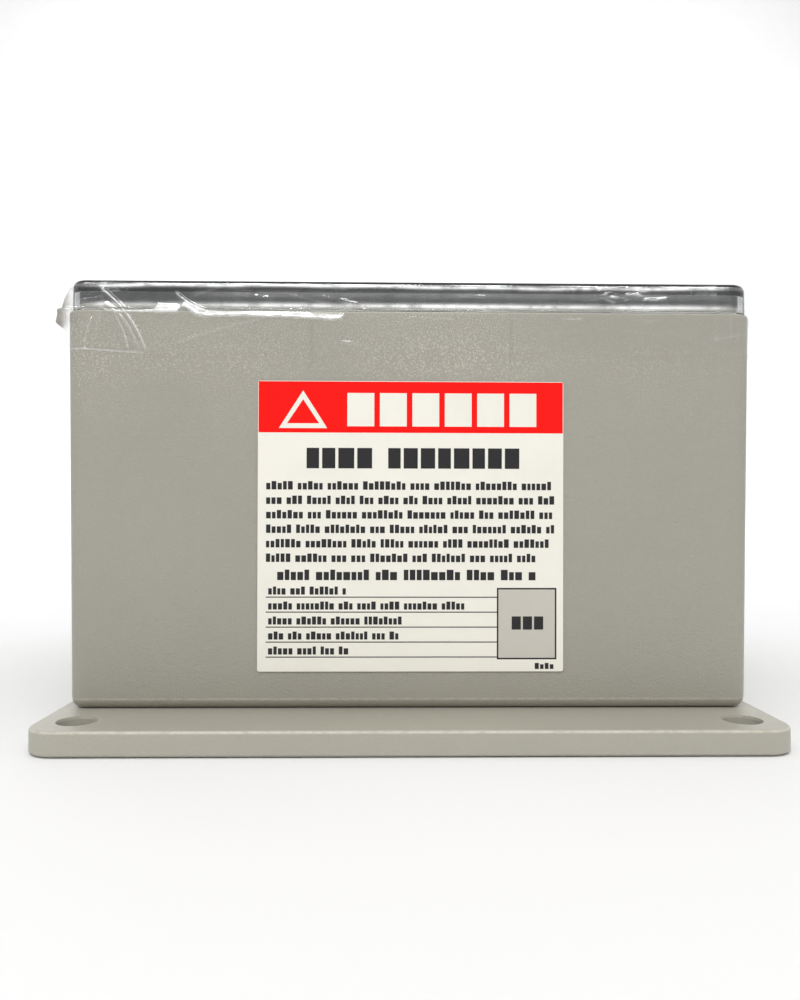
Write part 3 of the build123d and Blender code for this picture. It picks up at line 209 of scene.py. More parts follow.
class Effect(Paint):
    """A shader node group with named inputs and outputs, built once and shared."""

    def __init__(self, name, inputs, outputs):
        self.tree = bpy.data.node_groups.new(name, "ShaderNodeTree")
        for label, kind, value in inputs:
            socket = self.tree.interface.new_socket(label, in_out="INPUT", socket_type=kind)
            socket.default_value = value
        for label, kind in outputs:
            self.tree.interface.new_socket(label, in_out="OUTPUT", socket_type=kind)
        self.given = self.tree.nodes.new("NodeGroupInput").outputs
        self.result = self.tree.nodes.new("NodeGroupOutput")

    def give(self, **outputs):
        self.feed(self.result, {k.replace("_", " "): v for k, v in outputs.items()})
        return self.tree


FLOAT, COLOUR = "NodeSocketFloat", "NodeSocketColor"
WHITE = (1.0, 1.0, 1.0, 1.0)


def mottle_effect():
    """Colour that drifts between two shades by a slow noise, and a roughness that drifts with it."""
    e = Effect(
        "Mottle",
        [("Shade A", COLOUR, WHITE), ("Shade B", COLOUR, WHITE), ("Scale", FLOAT, 20.0),
         ("Roughness", FLOAT, 0.5), ("Spread", FLOAT, 0.1)],
        [("Colour", COLOUR), ("Roughness", FLOAT)],
    )
    where = e.place()
    slow = e.noise(where, e.given["Scale"], 4.0, 0.6)
    spread = e.times(e.minus(slow, 0.5), e.given["Spread"])
    shade = e.ramp(slow, 0.35, 0.65)
    return e.give(
        Colour=e.mix(shade, e.given["Shade A"], e.given["Shade B"]),
        Roughness=e.math("ADD", e.given["Roughness"], spread),
    )


def stipple_effect():
    """The height of a spark-eroded mould texture: rounded cells with finer grain on them."""
    e = Effect(
        "Stipple",
        [("Scale", FLOAT, 2000.0), ("Fine", FLOAT, 0.4)],
        [("Height", FLOAT)],
    )
    where = e.place()
    cells = e.noise(where, e.given["Scale"], 1.0, 0.5)
    fine = e.noise(where, e.times(e.given["Scale"], 2.7), 1.0, 0.5)
    return e.give(Height=e.math("ADD", cells, e.times(fine, e.given["Fine"])))


def edge_effect():
    """A mask that is 1 along sharp edges: where the rounded normal leaves the true one."""
    e = Effect(
        "Edges",
        [("Radius", FLOAT, 0.0006), ("Breakup", FLOAT, 400.0)],
        [("Mask", FLOAT)],
    )
    soft = e.add("ShaderNodeBevel", {"Radius": e.given["Radius"]}, samples=4).outputs[0]
    true = e.add("ShaderNodeNewGeometry").outputs["Normal"]
    dot = e.add("ShaderNodeVectorMath", {0: soft, 1: true}, operation="DOT_PRODUCT").outputs["Value"]
    bend = e.ramp(e.minus(1.0, dot), 0.01, 0.2)
    patchy = e.ramp(e.cloud(e.given["Breakup"], 3.0, 0.6), 0.35, 0.65)
    return e.give(Mask=e.times(bend, patchy))


def dust_effect():
    """A mask of settled dust: strongest on faces that look up, broken by a noise."""
    e = Effect("Dust", [("Scale", FLOAT, 60.0)], [("Mask", FLOAT)])
    normal = e.add("ShaderNodeNewGeometry").outputs["Normal"]
    up = e.add("ShaderNodeSeparateXYZ", {0: normal}).outputs[2]
    flat = e.ramp(up, 0.3, 1.0)
    cloud = e.ramp(e.cloud(e.given["Scale"], 6.0, 0.65), 0.42, 0.75)
    return e.give(Mask=e.times(flat, cloud))


EFFECTS = {}


def effect(name):
    """The shared node group of that name, built at its first use."""
    makers = {"mottle": mottle_effect, "stipple": stipple_effect, "edges": edge_effect, "dust": dust_effect}
    if name not in EFFECTS:
        EFFECTS[name] = makers[name]()
    return EFFECTS[name]


def shade(colour, factor):
    """A colour made lighter or darker by a factor."""
    return tuple(min(1.0, c * factor) for c in colour[:3]) + (1.0,)


# ------------------------------------------------------------------ materials
def enclosure_plastic(name, colour, foot, rim, sinks=False):
    """Grey thermoplastic with a moulded stipple, painted glints that grow towards the rim, a painted
    highlight line where its foot begins to round, faint sink marks over the ribs that are partly painted
    shade, and edges made paler as a painted highlight."""
    p = Paint(name)
    colour_out, rough_out = p.mottled(shade(colour, 0.98), shade(colour, 1.02), 14.0, 0.36, 0.08)
    height = p.group(effect("stipple"), Scale=1900.0, Fine=0.4)[0]
    edge = p.group(effect("edges"), Radius=0.0016, Breakup=160.0)[0]
    dust = p.group(effect("dust"), Scale=90.0)[0]
    # Painted highlight: the rounded edges are made paler.
    pale = p.mix(p.times(edge, 0.45), colour_out, shade(colour, 1.35))
    dusty = p.mix(p.times(dust, 0.12), pale, shade(colour, 1.25))
    speck = p.ramp(p.cloud(700.0, 2.0, 0.5), 0.72, 0.76)
    colour_out = p.mix(p.times(speck, 0.12), dusty, shade(colour, 0.6))
    split = p.add("ShaderNodeSeparateXYZ", {0: p.place()}).outputs
    # Painted glints: pale dots of a fine noise, in patches, strongest towards the rim where the lamp's
    # reflection falls.
    near = p.ramp(split[2], rim - 34.0 * MM, rim - 6.0 * MM, 0.10, 1.0)
    patchy = p.ramp(p.cloud(16.0, 2.0, 0.5), 0.38, 0.62, 0.25, 1.0)
    grain = p.ramp(p.cloud(3100.0, 1.0, 0.5), 0.54, 0.66)
    painted_glints = p.times(p.times(grain, near), patchy)
    colour_out = p.mix(p.times(painted_glints, 0.65), colour_out, shade(colour, 1.9))
    # Painted highlight: a pale line at the height given as foot, where the box's foot begins to round and
    # on the plate's top edge, broken by a noise.
    lit = p.ramp(p.math("ABSOLUTE", p.minus(split[2], foot)), 0.08 * MM, 0.42 * MM, 1.0, 0.0)
    broken = p.ramp(p.cloud(420.0, 3.0, 0.6), 0.30, 0.55, 0.35, 1.0)
    colour_out = p.mix(p.times(p.times(lit, broken), 0.5), colour_out,
                       shade(colour, 1.75))
    normal = p.bump(height, 0.8, 0.00016)
    if sinks:
        away = p.minus(p.math("ABSOLUTE", split[0]), 25.0 * MM)
        line = p.ramp(p.math("ABSOLUTE", away), 0.1 * MM, 0.9 * MM, 1.0, 0.0)
        high = p.ramp(split[2], rim - 17.0 * MM, rim - 11.0 * MM)
        sink = p.times(line, high)
        # Painted shade: the sink marks are also darkened in colour, besides their dent in the bump.
        colour_out = p.mix(p.times(sink, 0.16), colour_out, shade(colour, 0.55))
        normal = p.bump(p.minus(1.0, sink), 0.35, 0.00012, normal)
    return p.surface(Base_Color=colour_out, Roughness=rough_out, Normal=normal, IOR=1.5)


def cover_plastic():
    """Polycarbonate with a light smoke tint, and a near-black painted shade along the moulding's top edge.
    """
    p = Paint("smoked polycarbonate")
    smear = p.ramp(p.cloud(60.0, 4.0, 0.6), 0.3, 0.8, 0.02, 0.08)
    height = p.axis(2)
    # Painted shade: near the top, faces that do not look straight up or down are made near black.
    edge = p.ramp(height, COVER_HIGH.z - 1.3 * MM, COVER_HIGH.z - 0.5 * MM)
    up = p.add("ShaderNodeSeparateXYZ", {0: p.add("ShaderNodeNewGeometry").outputs["Normal"]}).outputs[2]
    turned = p.times(edge, p.ramp(p.math("ABSOLUTE", up), 0.93, 0.995, 1.0, 0.0))
    shadow = p.add("ShaderNodeLightPath").outputs["Is Shadow Ray"]
    alpha = p.minus(1.0, p.times(shadow, 0.75))
    haze = p.add("ShaderNodeVolumeAbsorption", {"Color": (0.42, 0.46, 0.50, 1.0), "Density": 45.0})
    foot = p.ramp(height, COVER_LOW.z + 2.0 * MM, COVER_LOW.z + 2.5 * MM)
    body = p.mix(foot, (0.98, 0.98, 0.97, 1.0), (0.80, 0.82, 0.83, 1.0))
    p.tree.links.new(haze.outputs[0], p.tree.nodes["Material Output"].inputs["Volume"])
    ripple = p.cloud(45.0, 2.0, 0.5)
    return p.surface(
        Base_Color=p.mix(turned, body, (0.02, 0.022, 0.025, 1.0)),
        Roughness=smear, Alpha=alpha, Transmission_Weight=1.0, IOR=1.585,
        Normal=p.bump(ripple, 0.25, 0.0004),
    )


def film_plastic():
    """Thin clear film: it mirrors a little face on and much more edge on. Its sharp creases are white,
    partly as crease whitening and partly as painted highlight."""
    p = Paint("clear film")
    crease_and_painted_light = p.add("ShaderNodeAttribute", attribute_name="crease_and_painted_light").outputs["Fac"]
    # The film is the same from both sides, so its back gets the inverse index.
    inside = p.add("ShaderNodeNewGeometry").outputs["Backfacing"]
    index = p.minus(1.5, p.times(inside, 1.5 - 1 / 1.5))
    mirror = p.add("ShaderNodeFresnel", {"IOR": index}).outputs[0]
    # Where the point attribute is negative, the film's sheen is taken out as painted shade. Where it is
    # positive, the film is painted white and opaque, partly as crease whitening and partly as painted
    # highlight.
    sheen = p.math("ADD", p.times(mirror, 1.15), p.math("MINIMUM", crease_and_painted_light, 0.0))
    broken = p.ramp(p.cloud(260.0, 3.0, 0.6), 0.25, 0.6, 0.55, 1.0)
    white = p.times(p.math("MAXIMUM", crease_and_painted_light, 0.0), broken)
    alpha = p.math("ADD", sheen, p.times(white, 0.9), clamp=True)
    # Where several layers of film lie on each other they look smoky.
    layers = p.add("ShaderNodeAttribute", attribute_name="tint").outputs["Fac"]
    alpha = p.math("MAXIMUM", alpha, p.times(layers, 0.72))
    solid = p.math("ADD", white, layers, clamp=True)
    shadow = p.add("ShaderNodeLightPath").outputs["Is Shadow Ray"]
    alpha = p.times(alpha, p.minus(1.0, p.times(shadow, 0.9)))
    haze = p.cloud(420.0, 4.0, 0.6)
    return p.surface(
        Base_Color=p.mix(layers, (0.95, 0.96, 0.95, 1.0), (0.27, 0.25, 0.215, 1.0)),
        Roughness=p.ramp(haze, 0.3, 0.8, 0.06, 0.16),
        Metallic=p.minus(1.0, solid), IOR=1.5, Alpha=alpha,
        Normal=p.bump(p.cloud(300.0, 3.0, 0.5, 0.6), 0.35, 0.00012),
    )


def flat_ink(name, colour, roughness=0.38):
    """Printed ink: an even colour with the slight cloudiness and orange peel of a satin film."""
    p = Paint(name)
    colour_out, rough_out = p.mottled(shade(colour, 0.98), shade(colour, 1.01), 45.0, roughness, 0.08)
    peel = p.cloud(1400.0, 2.0, 0.5)
    return p.surface(
        Base_Color=colour_out, Roughness=rough_out, Specular_IOR_Level=0.2,
        Normal=p.bump(peel, 0.12, 0.00005),
    )


def moulded(name, colour, roughness=0.45, grain=1200.0, depth=0.25, contrast=0.05, worn=0.25):
    """Plain moulded plastic: fine grain, a little colour drift and paler rubbed edges."""
    p = Paint(name)
    colour_out, rough_out = p.mottled(
        shade(colour, 1 - contrast), shade(colour, 1 + contrast), 70.0, roughness, 0.12)
    edge = p.group(effect("edges"), Radius=0.0004, Breakup=500.0)[0]
    pale = p.mix(p.times(edge, worn), colour_out, shade([c + 0.12 for c in colour[:3]], 1.2))
    height = p.group(effect("stipple"), Scale=grain, Fine=0.4)[0]
    return p.surface(Base_Color=pale, Roughness=rough_out, Normal=p.bump(height, depth, 0.00006))


def metal(name, colour, roughness=0.3, stretch=(1.0, 1.0, 14.0), tarnish=0.25):
    """Plated or drawn metal: fine streaks along one axis, cloudy tarnish and brighter edges."""
    p = Paint(name)
    streak_place = p.add("ShaderNodeMapping", {"Vector": p.place(), "Scale": stretch}).outputs[0]
    streaks = p.noise(streak_place, 320.0, 4.0, 0.6)
    cloud = p.ramp(p.cloud(130.0, 5.0, 0.6), 0.35, 0.8)
    dull = p.mix(p.times(cloud, tarnish), (*colour, 1.0), shade(colour, 0.62))
    edge = p.group(effect("edges"), Radius=0.0003, Breakup=700.0)[0]
    bright = p.mix(p.times(edge, 0.5), dull, shade(colour, 1.3))
    rough = p.math("ADD", p.ramp(streaks, 0.3, 0.7, roughness - 0.06, roughness + 0.08),
                   p.times(cloud, 0.12))
    return p.surface(
        Base_Color=bright, Roughness=rough, Metallic=1.0,
        Normal=p.bump(streaks, 0.15, 0.00003),
    )


def rubber(name, colour, roughness=0.7):
    """Soft rubber with a dull, slightly dusty bloom."""
    p = Paint(name)
    colour_out, rough_out = p.mottled(
        shade(colour, 0.85), shade([c + 0.02 for c in colour], 1.25), 240.0, roughness, 0.2)
    grain = p.cloud(2600.0, 3.0, 0.6)
    return p.surface(Base_Color=colour_out, Roughness=rough_out, Normal=p.bump(grain, 0.35, 0.00006))


def circuit_board(name, mask, trace):
    """Solder mask over straight copper runs with rows of plated holes, and a glossy skin."""
    p = Paint(name)
    where = p.place()
    inputs = {"Vector": where, "Scale": 210.0}
    runs = p.add("ShaderNodeTexVoronoi", inputs, distance="CHEBYCHEV", feature="F1").outputs["Distance"]
    line = p.ramp(p.math("PINGPONG", runs, 0.16), 0.055, 0.075)
    holes = p.add("ShaderNodeTexVoronoi", {"Vector": where, "Scale": 130.0, "Randomness": 0.15},
                  distance="EUCLIDEAN", feature="F1").outputs["Distance"]
    ring = p.times(p.ramp(holes, 0.10, 0.12, 1.0, 0.0),
                  p.ramp(p.noise(where, 60.0, 1.0), 0.55, 0.58))
    base = p.mix(line, mask, trace)
    gold = p.mix(ring, base, (0.55, 0.50, 0.36, 1.0))
    rough = p.ramp(p.noise(where, 90.0, 4.0, 0.6), 0.3, 0.7, 0.22, 0.36)
    return p.surface(
        Base_Color=gold, Roughness=rough, Metallic=p.times(ring, 0.9),
        Normal=p.bump(line, 0.3, 0.00004),
    )


def fuse_barrel():
    """White glazed ceramic with plated caps at both ends."""
    p = Paint("fuse ceramic")
    low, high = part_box("fuses")
    middle = (low.y + high.y) / 2
    along = p.axis(1)
    away = p.math("ABSOLUTE", p.minus(along, middle))
    cap = p.ramp(away, (high.y - low.y) / 2 - 9.1 * MM, (high.y - low.y) / 2 - 8.9 * MM)
    cloud = p.cloud(150.0, 4.0, 0.6)
    ceramic = p.mix(cloud, (0.80, 0.77, 0.70, 1.0), (0.70, 0.68, 0.62, 1.0))
    plated = p.mix(cloud, (0.72, 0.70, 0.66, 1.0), (0.58, 0.56, 0.52, 1.0))
    return p.surface(
        Base_Color=p.mix(cap, ceramic, plated), Metallic=cap,
        Roughness=p.ramp(cloud, 0.3, 0.7, 0.22, 0.34), Normal=p.bump(cloud, 0.1, 0.00005),
    )


def wire_jacket(name, colour):
    """Extruded insulation: satin, with faint lengthwise drift and scuffs."""
    p = Paint(name)
    colour_out, rough_out = p.mottled(
        shade(colour, 0.9), shade([c + 0.01 for c in colour], 1.08), 160.0, 0.36, 0.16)
    scuff = p.ramp(p.cloud(520.0, 4.0, 0.7), 0.62, 0.72)
    scuffed = p.mix(p.times(scuff, 0.18), colour_out, shade([c + 0.15 for c in colour], 1.1))
    return p.surface(Base_Color=scuffed, Roughness=rough_out,
                     Normal=p.bump(p.cloud(1500.0, 2.0), 0.15, 0.00004))


def lens(name, colour, glow):
    """Tinted diffused lens of a small lamp, a little lit from inside."""
    p = Paint(name)
    cloud = p.cloud(700.0, 3.0, 0.6)
    tint = p.mix(cloud, colour, shade(colour, 1.25))
    p.shader.inputs["Emission Strength"].default_value = glow
    return p.surface(
        Base_Color=tint, Emission_Color=tint, Roughness=p.ramp(cloud, 0.3, 0.7, 0.14, 0.24),
        Normal=p.bump(cloud, 0.1, 0.00003),
    )


def stage_paper():
    """Pale seamless paper with the faintest tooth."""
    p = Paint("stage paper")
    tooth = p.cloud(500.0, 3.0, 0.6)
    tint = p.ramp(p.cloud(3.0, 2.0, 0.5), 0.3, 0.7, 0.82, 0.84)
    colour = p.add("ShaderNodeCombineColor", {0: tint, 1: tint, 2: tint}).outputs[0]
    return p.surface(Base_Color=colour, Roughness=0.9, Normal=p.bump(tooth, 0.02, 0.0001))


# ------------------------------------------------------------------ settings
def length_setting(name, description, default):
    """A setting in metres whose default is given in millimetres."""
    return FloatProperty(name=name, description=description, default=default * MM, unit="LENGTH")


def count_setting(name, description, default, least=0):
    """A whole number, with the least that it may be."""
    return IntProperty(name=name, description=description, default=default, min=least)


def colour_setting(name, description, default):
    """A setting for a linear colour."""
    return FloatVectorProperty(name=name, description=description, default=default, subtype="COLOR")


def angle_setting(name, description, degrees):
    """A setting for an angle whose default is given in degrees."""
    return FloatProperty(name=name, description=description, default=math.radians(degrees), subtype="ANGLE")


class EnclosureSettings(bpy.types.PropertyGroup):
    grey: colour_setting("Grey", "Colour of the box and plate", (0.317, 0.304, 0.257))


class CoverFilmSettings(bpy.types.PropertyGroup):
    columns: count_setting("Columns", "Points round the film", 1040, 200)
    top_rows: count_setting("Top rows", "Rings of points over the top", 13, 4)
    side_rows: count_setting("Side rows", "Rows of points down the sides", 78, 8)
    cling: length_setting("Cling gap", "Gap where the film clings", 0.14)
    drop: length_setting("Drop", "How far the film hangs below the rim", 10.2)
    seed: count_setting("Seed", "Picks the random wrinkles", 7)


class SpringSettings(bpy.types.PropertyGroup):
    turns: count_setting("Turns", "Turns of a trip spring", 7, 3)
    wire: length_setting("Wire", "Diameter of the wire", 0.8)


class NippleSettings(bpy.types.PropertyGroup):
    crest: length_setting("Crest radius", "Radius over the thread", 13.33)
    bore: length_setting("Bore", "Radius of the bore", 10.4)
    pitch: length_setting("Pitch", "Pitch of the thread", 1.814)
    depth: length_setting("Depth", "Depth of the thread", 0.75)


class LabelSettings(bpy.types.PropertyGroup):
    paper: colour_setting("Paper", "The label's white", (0.80, 0.78, 0.70))
    header: colour_setting("Header", "The red band", (0.88, 0.004, 0.002))
    ink: colour_setting("Ink", "The dark print", (0.025, 0.024, 0.026))
    patch: colour_setting("Patch", "The grey square", (0.53, 0.51, 0.45))
    seed: count_setting("Seed", "Picks the lengths of the word bars", 3)


class StageSettings(bpy.types.PropertyGroup):
    lens: FloatProperty(name="Lens", description="Focal length in millimetres", default=28.8)
    eye: FloatVectorProperty(
        name="Eye", description="Where the camera stands", default=(-0.00608, -0.28527, 0.05287),
        subtype="TRANSLATION", unit="LENGTH",
    )
    yaw: angle_setting("Yaw", "Turn to the right", 0.963)
    pitch: angle_setting("Pitch", "Tilt upwards", 1.434)
    roll: angle_setting("Roll", "Roll of the camera", 0.128)


# ------------------------------------------------------------------ operators
class SURGE_OT_enclosure(bpy.types.Operator):
    """Gives the moulded box and its mounting plate their textured plastic"""

    bl_idname = "surge.enclosure"
    bl_label = "Enclosure"

    def execute(self, context):
        grey = (*context.scene.surge_enclosure.grey, 1.0)
        dress("enclosure_box", enclosure_plastic(
            "box plastic", grey, BOX_LOW.z + 2.5 * MM, RIM_Z, sinks=True))
        # Painted light: the plate gets the box's grey made 1.2 times lighter, for its brighter front.
        dress("mounting_plate", enclosure_plastic(
            "plate plastic", shade(grey, 1.20), PLATE_TOP - 0.35 * MM, PLATE_TOP + 30 * MM))
        return {"FINISHED"}


def dress(node, material):
    """Puts one material on a CAD node."""
    slots = NODES[node].data.materials
    slots.clear()
    slots.append(material)


class SURGE_OT_cover(bpy.types.Operator):
    """Gives the clear cover and its gasket their materials"""

    bl_idname = "surge.cover"
    bl_label = "Cover"

    def execute(self, context):
        dress("clear_cover", cover_plastic())
        dress("cover_gasket", rubber("gasket rubber", (0.05, 0.05, 0.048)))
        return {"FINISHED"}


TIN, ZINC = (0.62, 0.61, 0.58), (0.56, 0.57, 0.58)
BRASS, STEEL = (0.62, 0.46, 0.20), (0.55, 0.55, 0.54)
FINISHES = (
    (("plate_screws", "panel_screws", "board_fasteners", "status_screws", "terminal_screws", "ground_stud"),
     lambda: metal("zinc screws", ZINC, 0.30)),
    (("cover_screw_front_left", "cover_screw_front_right", "cover_screw_rear_left",
      "cover_screw_rear_right"), lambda: metal("stainless screws", STEEL, 0.24)),
    (("post_inserts", "board_standoffs"), lambda: metal("turned brass", BRASS, 0.28)),
    (("screw_seals", "nipple_seal"), lambda: rubber("seal rubber", (0.035, 0.035, 0.035))),
    (("nipple_locknut",), lambda: metal("zinc casting", ZINC, 0.42, (3.0, 3.0, 3.0), 0.4)),
    (("back_panel",), lambda: metal("galvanised panel", ZINC, 0.38, (1.0, 9.0, 1.0), 0.35)),
    (("main_board",), lambda: circuit_board("green board", (0.012, 0.10, 0.035, 1), (0.02, 0.17, 0.06, 1))),
    (("status_board",), lambda: circuit_board("black board", (0.010, 0.011, 0.012, 1),
                                              (0.024, 0.025, 0.027, 1))),
    (tuple("varistor_housing_" + k for k in "abcn") + ("terminal_block",),
     lambda: moulded("dark housing", (0.045, 0.047, 0.05), 0.42, 900.0, 0.4, 0.10, 0.3)),
    (tuple("varistor_" + k for k in "abcn"), lambda: moulded("varistor epoxy", (0.02, 0.07, 0.26), 0.35)),
    (tuple("disconnect_slider_" + k for k in "abcn"),
     lambda: moulded("slider green", (0.03, 0.34, 0.10), 0.40)),
    (tuple("bridge_contact_" + k for k in "abcn") + ("fuse_clips",),
     lambda: metal("tinned bronze", (0.62, 0.56, 0.48), 0.30)),
    (("line_tabs", "ground_lug"), lambda: metal("tinned copper", TIN, 0.30, (8.0, 1.0, 1.0), 0.3)),
    (("fuses",), fuse_barrel),
    (("filter_capacitors",), lambda: moulded("capacitor yellow", (0.72, 0.42, 0.04), 0.38)),
    (("status_spacers",), lambda: moulded("nylon spacers", (0.74, 0.72, 0.66), 0.48)),
    (("status_leds",), lambda: lens("green lens", (0.05, 0.62, 0.16, 1.0), 0.6)),
    (("status_parts",), lambda: moulded("part black", (0.02, 0.02, 0.022), 0.36)),
    (("harness_headers",), lambda: moulded("header cream", (0.70, 0.64, 0.48), 0.44)),
    (("status_harness",), lambda: wire_jacket("grey jacket", (0.26, 0.26, 0.27))),
    (("phase_leads",), lambda: wire_jacket("black jacket", (0.02, 0.02, 0.021))),
    (("phase_b_lead",), lambda: wire_jacket("orange jacket", (0.72, 0.19, 0.02))),
    (("neutral_lead",), lambda: wire_jacket("white jacket", (0.72, 0.71, 0.68))),
    (("ground_leads",), lambda: wire_jacket("green jacket", (0.02, 0.22, 0.06))),
)


class SURGE_OT_inside(bpy.types.Operator):
    """Gives the boards, modules, leads and fasteners their finishes"""

    bl_idname = "surge.inside"
    bl_label = "Inside"

    def execute(self, context):
        for nodes, finish in FINISHES:
            material = finish()
            for node in nodes:
                dress(node, material)
        return {"FINISHED"}


def tube(path, radius, sides=10):
    """Points and faces of a round tube: at each point of the path a ring stands square to the
    path's direction, and both ends are closed by a fan of their ring."""
    along = np.gradient(path, axis=0)
    along /= np.linalg.norm(along, axis=1, keepdims=True)
    across = np.cross(along, [0.0, 0.0, 1.0])
    across /= np.linalg.norm(across, axis=1, keepdims=True)
    up = np.cross(across, along)
    angle = np.arange(sides) / sides * 2 * math.pi
    ring = across[:, None] * np.cos(angle)[None, :, None] + up[:, None] * np.sin(angle)[None, :, None]
    points = (path[:, None] + radius * ring).reshape(-1, 3)
    faces = quads(len(path), sides, wrap_columns=True).tolist()
    faces.append(list(range(sides))[::-1])
    faces.append(list(range(len(points) - sides, len(points))))
    return points, faces


class SURGE_OT_springs(bpy.types.Operator):
    """Winds the trip springs"""

    bl_idname = "surge.springs"
    bl_label = "Trip springs"

    def execute(self, context):
        s = context.scene.surge_spring
        steel = metal("spring steel", (0.50, 0.49, 0.47), 0.26, (1.0, 1.0, 1.0), 0.2)
        for phase in "abcn":
            node = "trip_spring_" + phase
            low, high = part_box(node)
            wire = s.wire / 2
            x, y = (low.x + high.x) / 2, (low.y + high.y) / 2
            radius = (high.x - low.x) / 2 - wire
            t = np.linspace(0, 1, s.turns * 28 + 1)
            # The end coils are closed: the rise is slow at both ends and even between.
            rise = np.cumsum(0.30 + smoothstep(0.0, 0.16, t) * (1 - smoothstep(0.84, 1.0, t)))
            rise = (rise - rise[0]) / (rise[-1] - rise[0])
            turn = t * s.turns * 2 * math.pi
            z = low.z + wire + rise * (high.z - low.z - 2 * wire)
            path = np.stack([x + radius * np.cos(turn), y + radius * np.sin(turn), z], -1)
            points, faces = tube(path, wire)
            spring = new_piece("trip_spring_wire_" + phase, points, faces, steel, None)
            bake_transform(spring)
            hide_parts(node)
        return {"FINISHED"}


def about_y(radius, y, angle):
    """Points of a surface turned about Y: a grid over length and angle of the given radius."""
    return np.stack(np.broadcast_arrays(radius * np.cos(angle), y, radius * np.sin(angle)), -1)


class SURGE_OT_nipple(bpy.types.Operator):
    """Turns the threaded conduit nipple with its hexagon"""

    bl_idname = "surge.nipple"
    bl_label = "Conduit nipple"

    def execute(self, context):
        s = context.scene.surge_nipple
        low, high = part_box("conduit_nipple")
        nut_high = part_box("nipple_locknut")[1]
        seal_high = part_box("nipple_seal")[1]
        zinc = metal("cast nipple", ZINC, 0.36, (3.0, 3.0, 3.0), 0.35)
        centre = np.array([(low.x + high.x) / 2, 0.0, (low.z + high.z) / 2])
        crest, bore = s.crest, s.bore
        # The outer wall is a grid over angle and length. Its radius is the crest less the
        # thread's depth times a triangle wave of length / pitch - angle / turn.
        y = np.linspace(low.y, high.y, int((high.y - low.y) / (0.16 * MM)))[:, None]
        angle = np.arange(72)[None] / 72 * 2 * math.pi
        phase = y / s.pitch - angle / (2 * math.pi)
        wave = np.abs(2 * (phase - np.floor(phase)) - 1)
        ends = smoothstep(0, 1.2 * MM, y - low.y) * smoothstep(0, 1.2 * MM, high.y - y)
        chamfer = s.depth * 1.25 * (1 - ends)
        inside = (y > nut_high.y + 0.4 * MM) & (y < seal_high.y + 6.2 * MM)
        cut = np.where(inside, 0.0, s.depth * smoothstep(0.1, 0.9, wave))
        radius = crest - np.maximum(cut, chamfer)
        outer = about_y(radius, y, angle)
        rim = np.array([high.y, high.y - 0.5 * MM, low.y + 0.5 * MM, low.y])[:, None]
        lip = np.array([0.5, 0.0, 0.0, 0.5])[:, None] * MM + bore
        inner = about_y(lip, rim, angle)
        points = np.concatenate([outer, inner]) + centre
        faces = quads(len(points), 72, wrap_rows=True, wrap_columns=True)[:, ::-1]
        body = new_piece("conduit_nipple_thread", points, faces, zinc, "root")
        self.hexagon(zinc, centre, seal_high.y, seal_high.y + 6.0 * MM, crest)
        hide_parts("conduit_nipple")
        return {"FINISHED"}

    def hexagon(self, zinc, centre, start, end, bore):
        """A hexagon whose corners are turned off at 30 degrees: at each angle the radius is the
        lesser of the flat's distance / cos(angle within the flat) and a cone's radius."""
        flat = 18.0 * MM
        angle = np.arange(120)[None] / 120 * 2 * math.pi
        within = (angle + math.pi / 6) % (math.pi / 3) - math.pi / 6
        hexagon = flat / np.cos(within)
        y = np.concatenate([[start], np.linspace(end - 1.4 * MM, end, 8)])[:, None]
        cone = flat + 0.2 * MM + (end - y) / math.tan(math.radians(30)) + 0 * angle
        radius = np.minimum(hexagon, cone)
        outer = about_y(radius, y, angle)
        hole = np.full((2, 1), bore - 0.1 * MM)
        back = np.array([end, start])[:, None]
        inner = about_y(hole, back, angle)
        points = np.concatenate([outer, inner]) + centre
        faces = quads(len(points), 120, wrap_rows=True, wrap_columns=True)[:, ::-1]
        new_piece("conduit_nipple_hexagon", points, faces, zinc, "root", smooth=False)


def outline_at(s, half, corner):
    """Points and outward normals of a square with round corners, at distance s round it.
    s runs anticlockwise from the middle of the -Y side; each side is a straight run and a
    quarter arc."""
    straight = 2 * (half - corner)
    arc = corner * math.pi / 2
    side = straight + arc
    s = (s + straight / 2) % (4 * side)
    number = np.floor(s / side)
    along = s - number * side
    angle = np.clip((along - straight) / corner, 0.0, math.pi / 2)
    x = np.where(along < straight, along - straight / 2, straight / 2 + corner * np.sin(angle))
    y = np.where(along < straight, -half, -half + corner * (1 - np.cos(angle)))
    nx, ny = np.sin(angle), -np.cos(angle)
    turn = number * math.pi / 2
    c, sn = np.cos(turn), np.sin(turn)
    return (
        np.stack([x * c - y * sn, x * sn + y * c], -1),
        np.stack([nx * c - ny * sn, nx * sn + ny * c], -1),
    )


def ridge(s, z, start, end, width, height, bow=0.0):
    """A crease: a tent that falls off as the exponential of the distance from the line between
    two points of the skirt, so its crest is sharp, and fades at both ends. The line bows
    sideways as 4t(1 - t)."""
    a, b = np.array(start), np.array(end)
    run = b - a
    length = np.hypot(*run)
    t = ((s - a[0]) * run[0] + (z - a[1]) * run[1]) / length**2
    off = ((s - a[0]) * run[1] - (z - a[1]) * run[0]) / length - bow * 4 * t * (1 - t)
    fade = smoothstep(-0.05, 0.12, t) * (1 - smoothstep(0.88, 1.05, t))
    return height * fade * np.exp(-np.abs(off) / width), fade * np.exp(-((off / (width * 0.5)) ** 2))


def tents(s, z):
    """The film's bridge over the step at the rim. At each place along the front it leaves the
    cover at a given height, slopes out over a given depth and tucks back in at its foot, so
    the slope catches the light from above. Between the listed places both numbers are
    joined by straight lines."""
    place, top, depth = np.array(TENTS).T * MM
    top_z, deep = np.interp(s, place, top), np.interp(s, place, depth)
    down = (RIM_Z + top_z - z) / np.maximum(deep, 0.05 * MM)
    slope = np.clip(down, 0, 1) * (1 - smoothstep(0.86, 1.10, down))
    return 0.40 * deep * slope


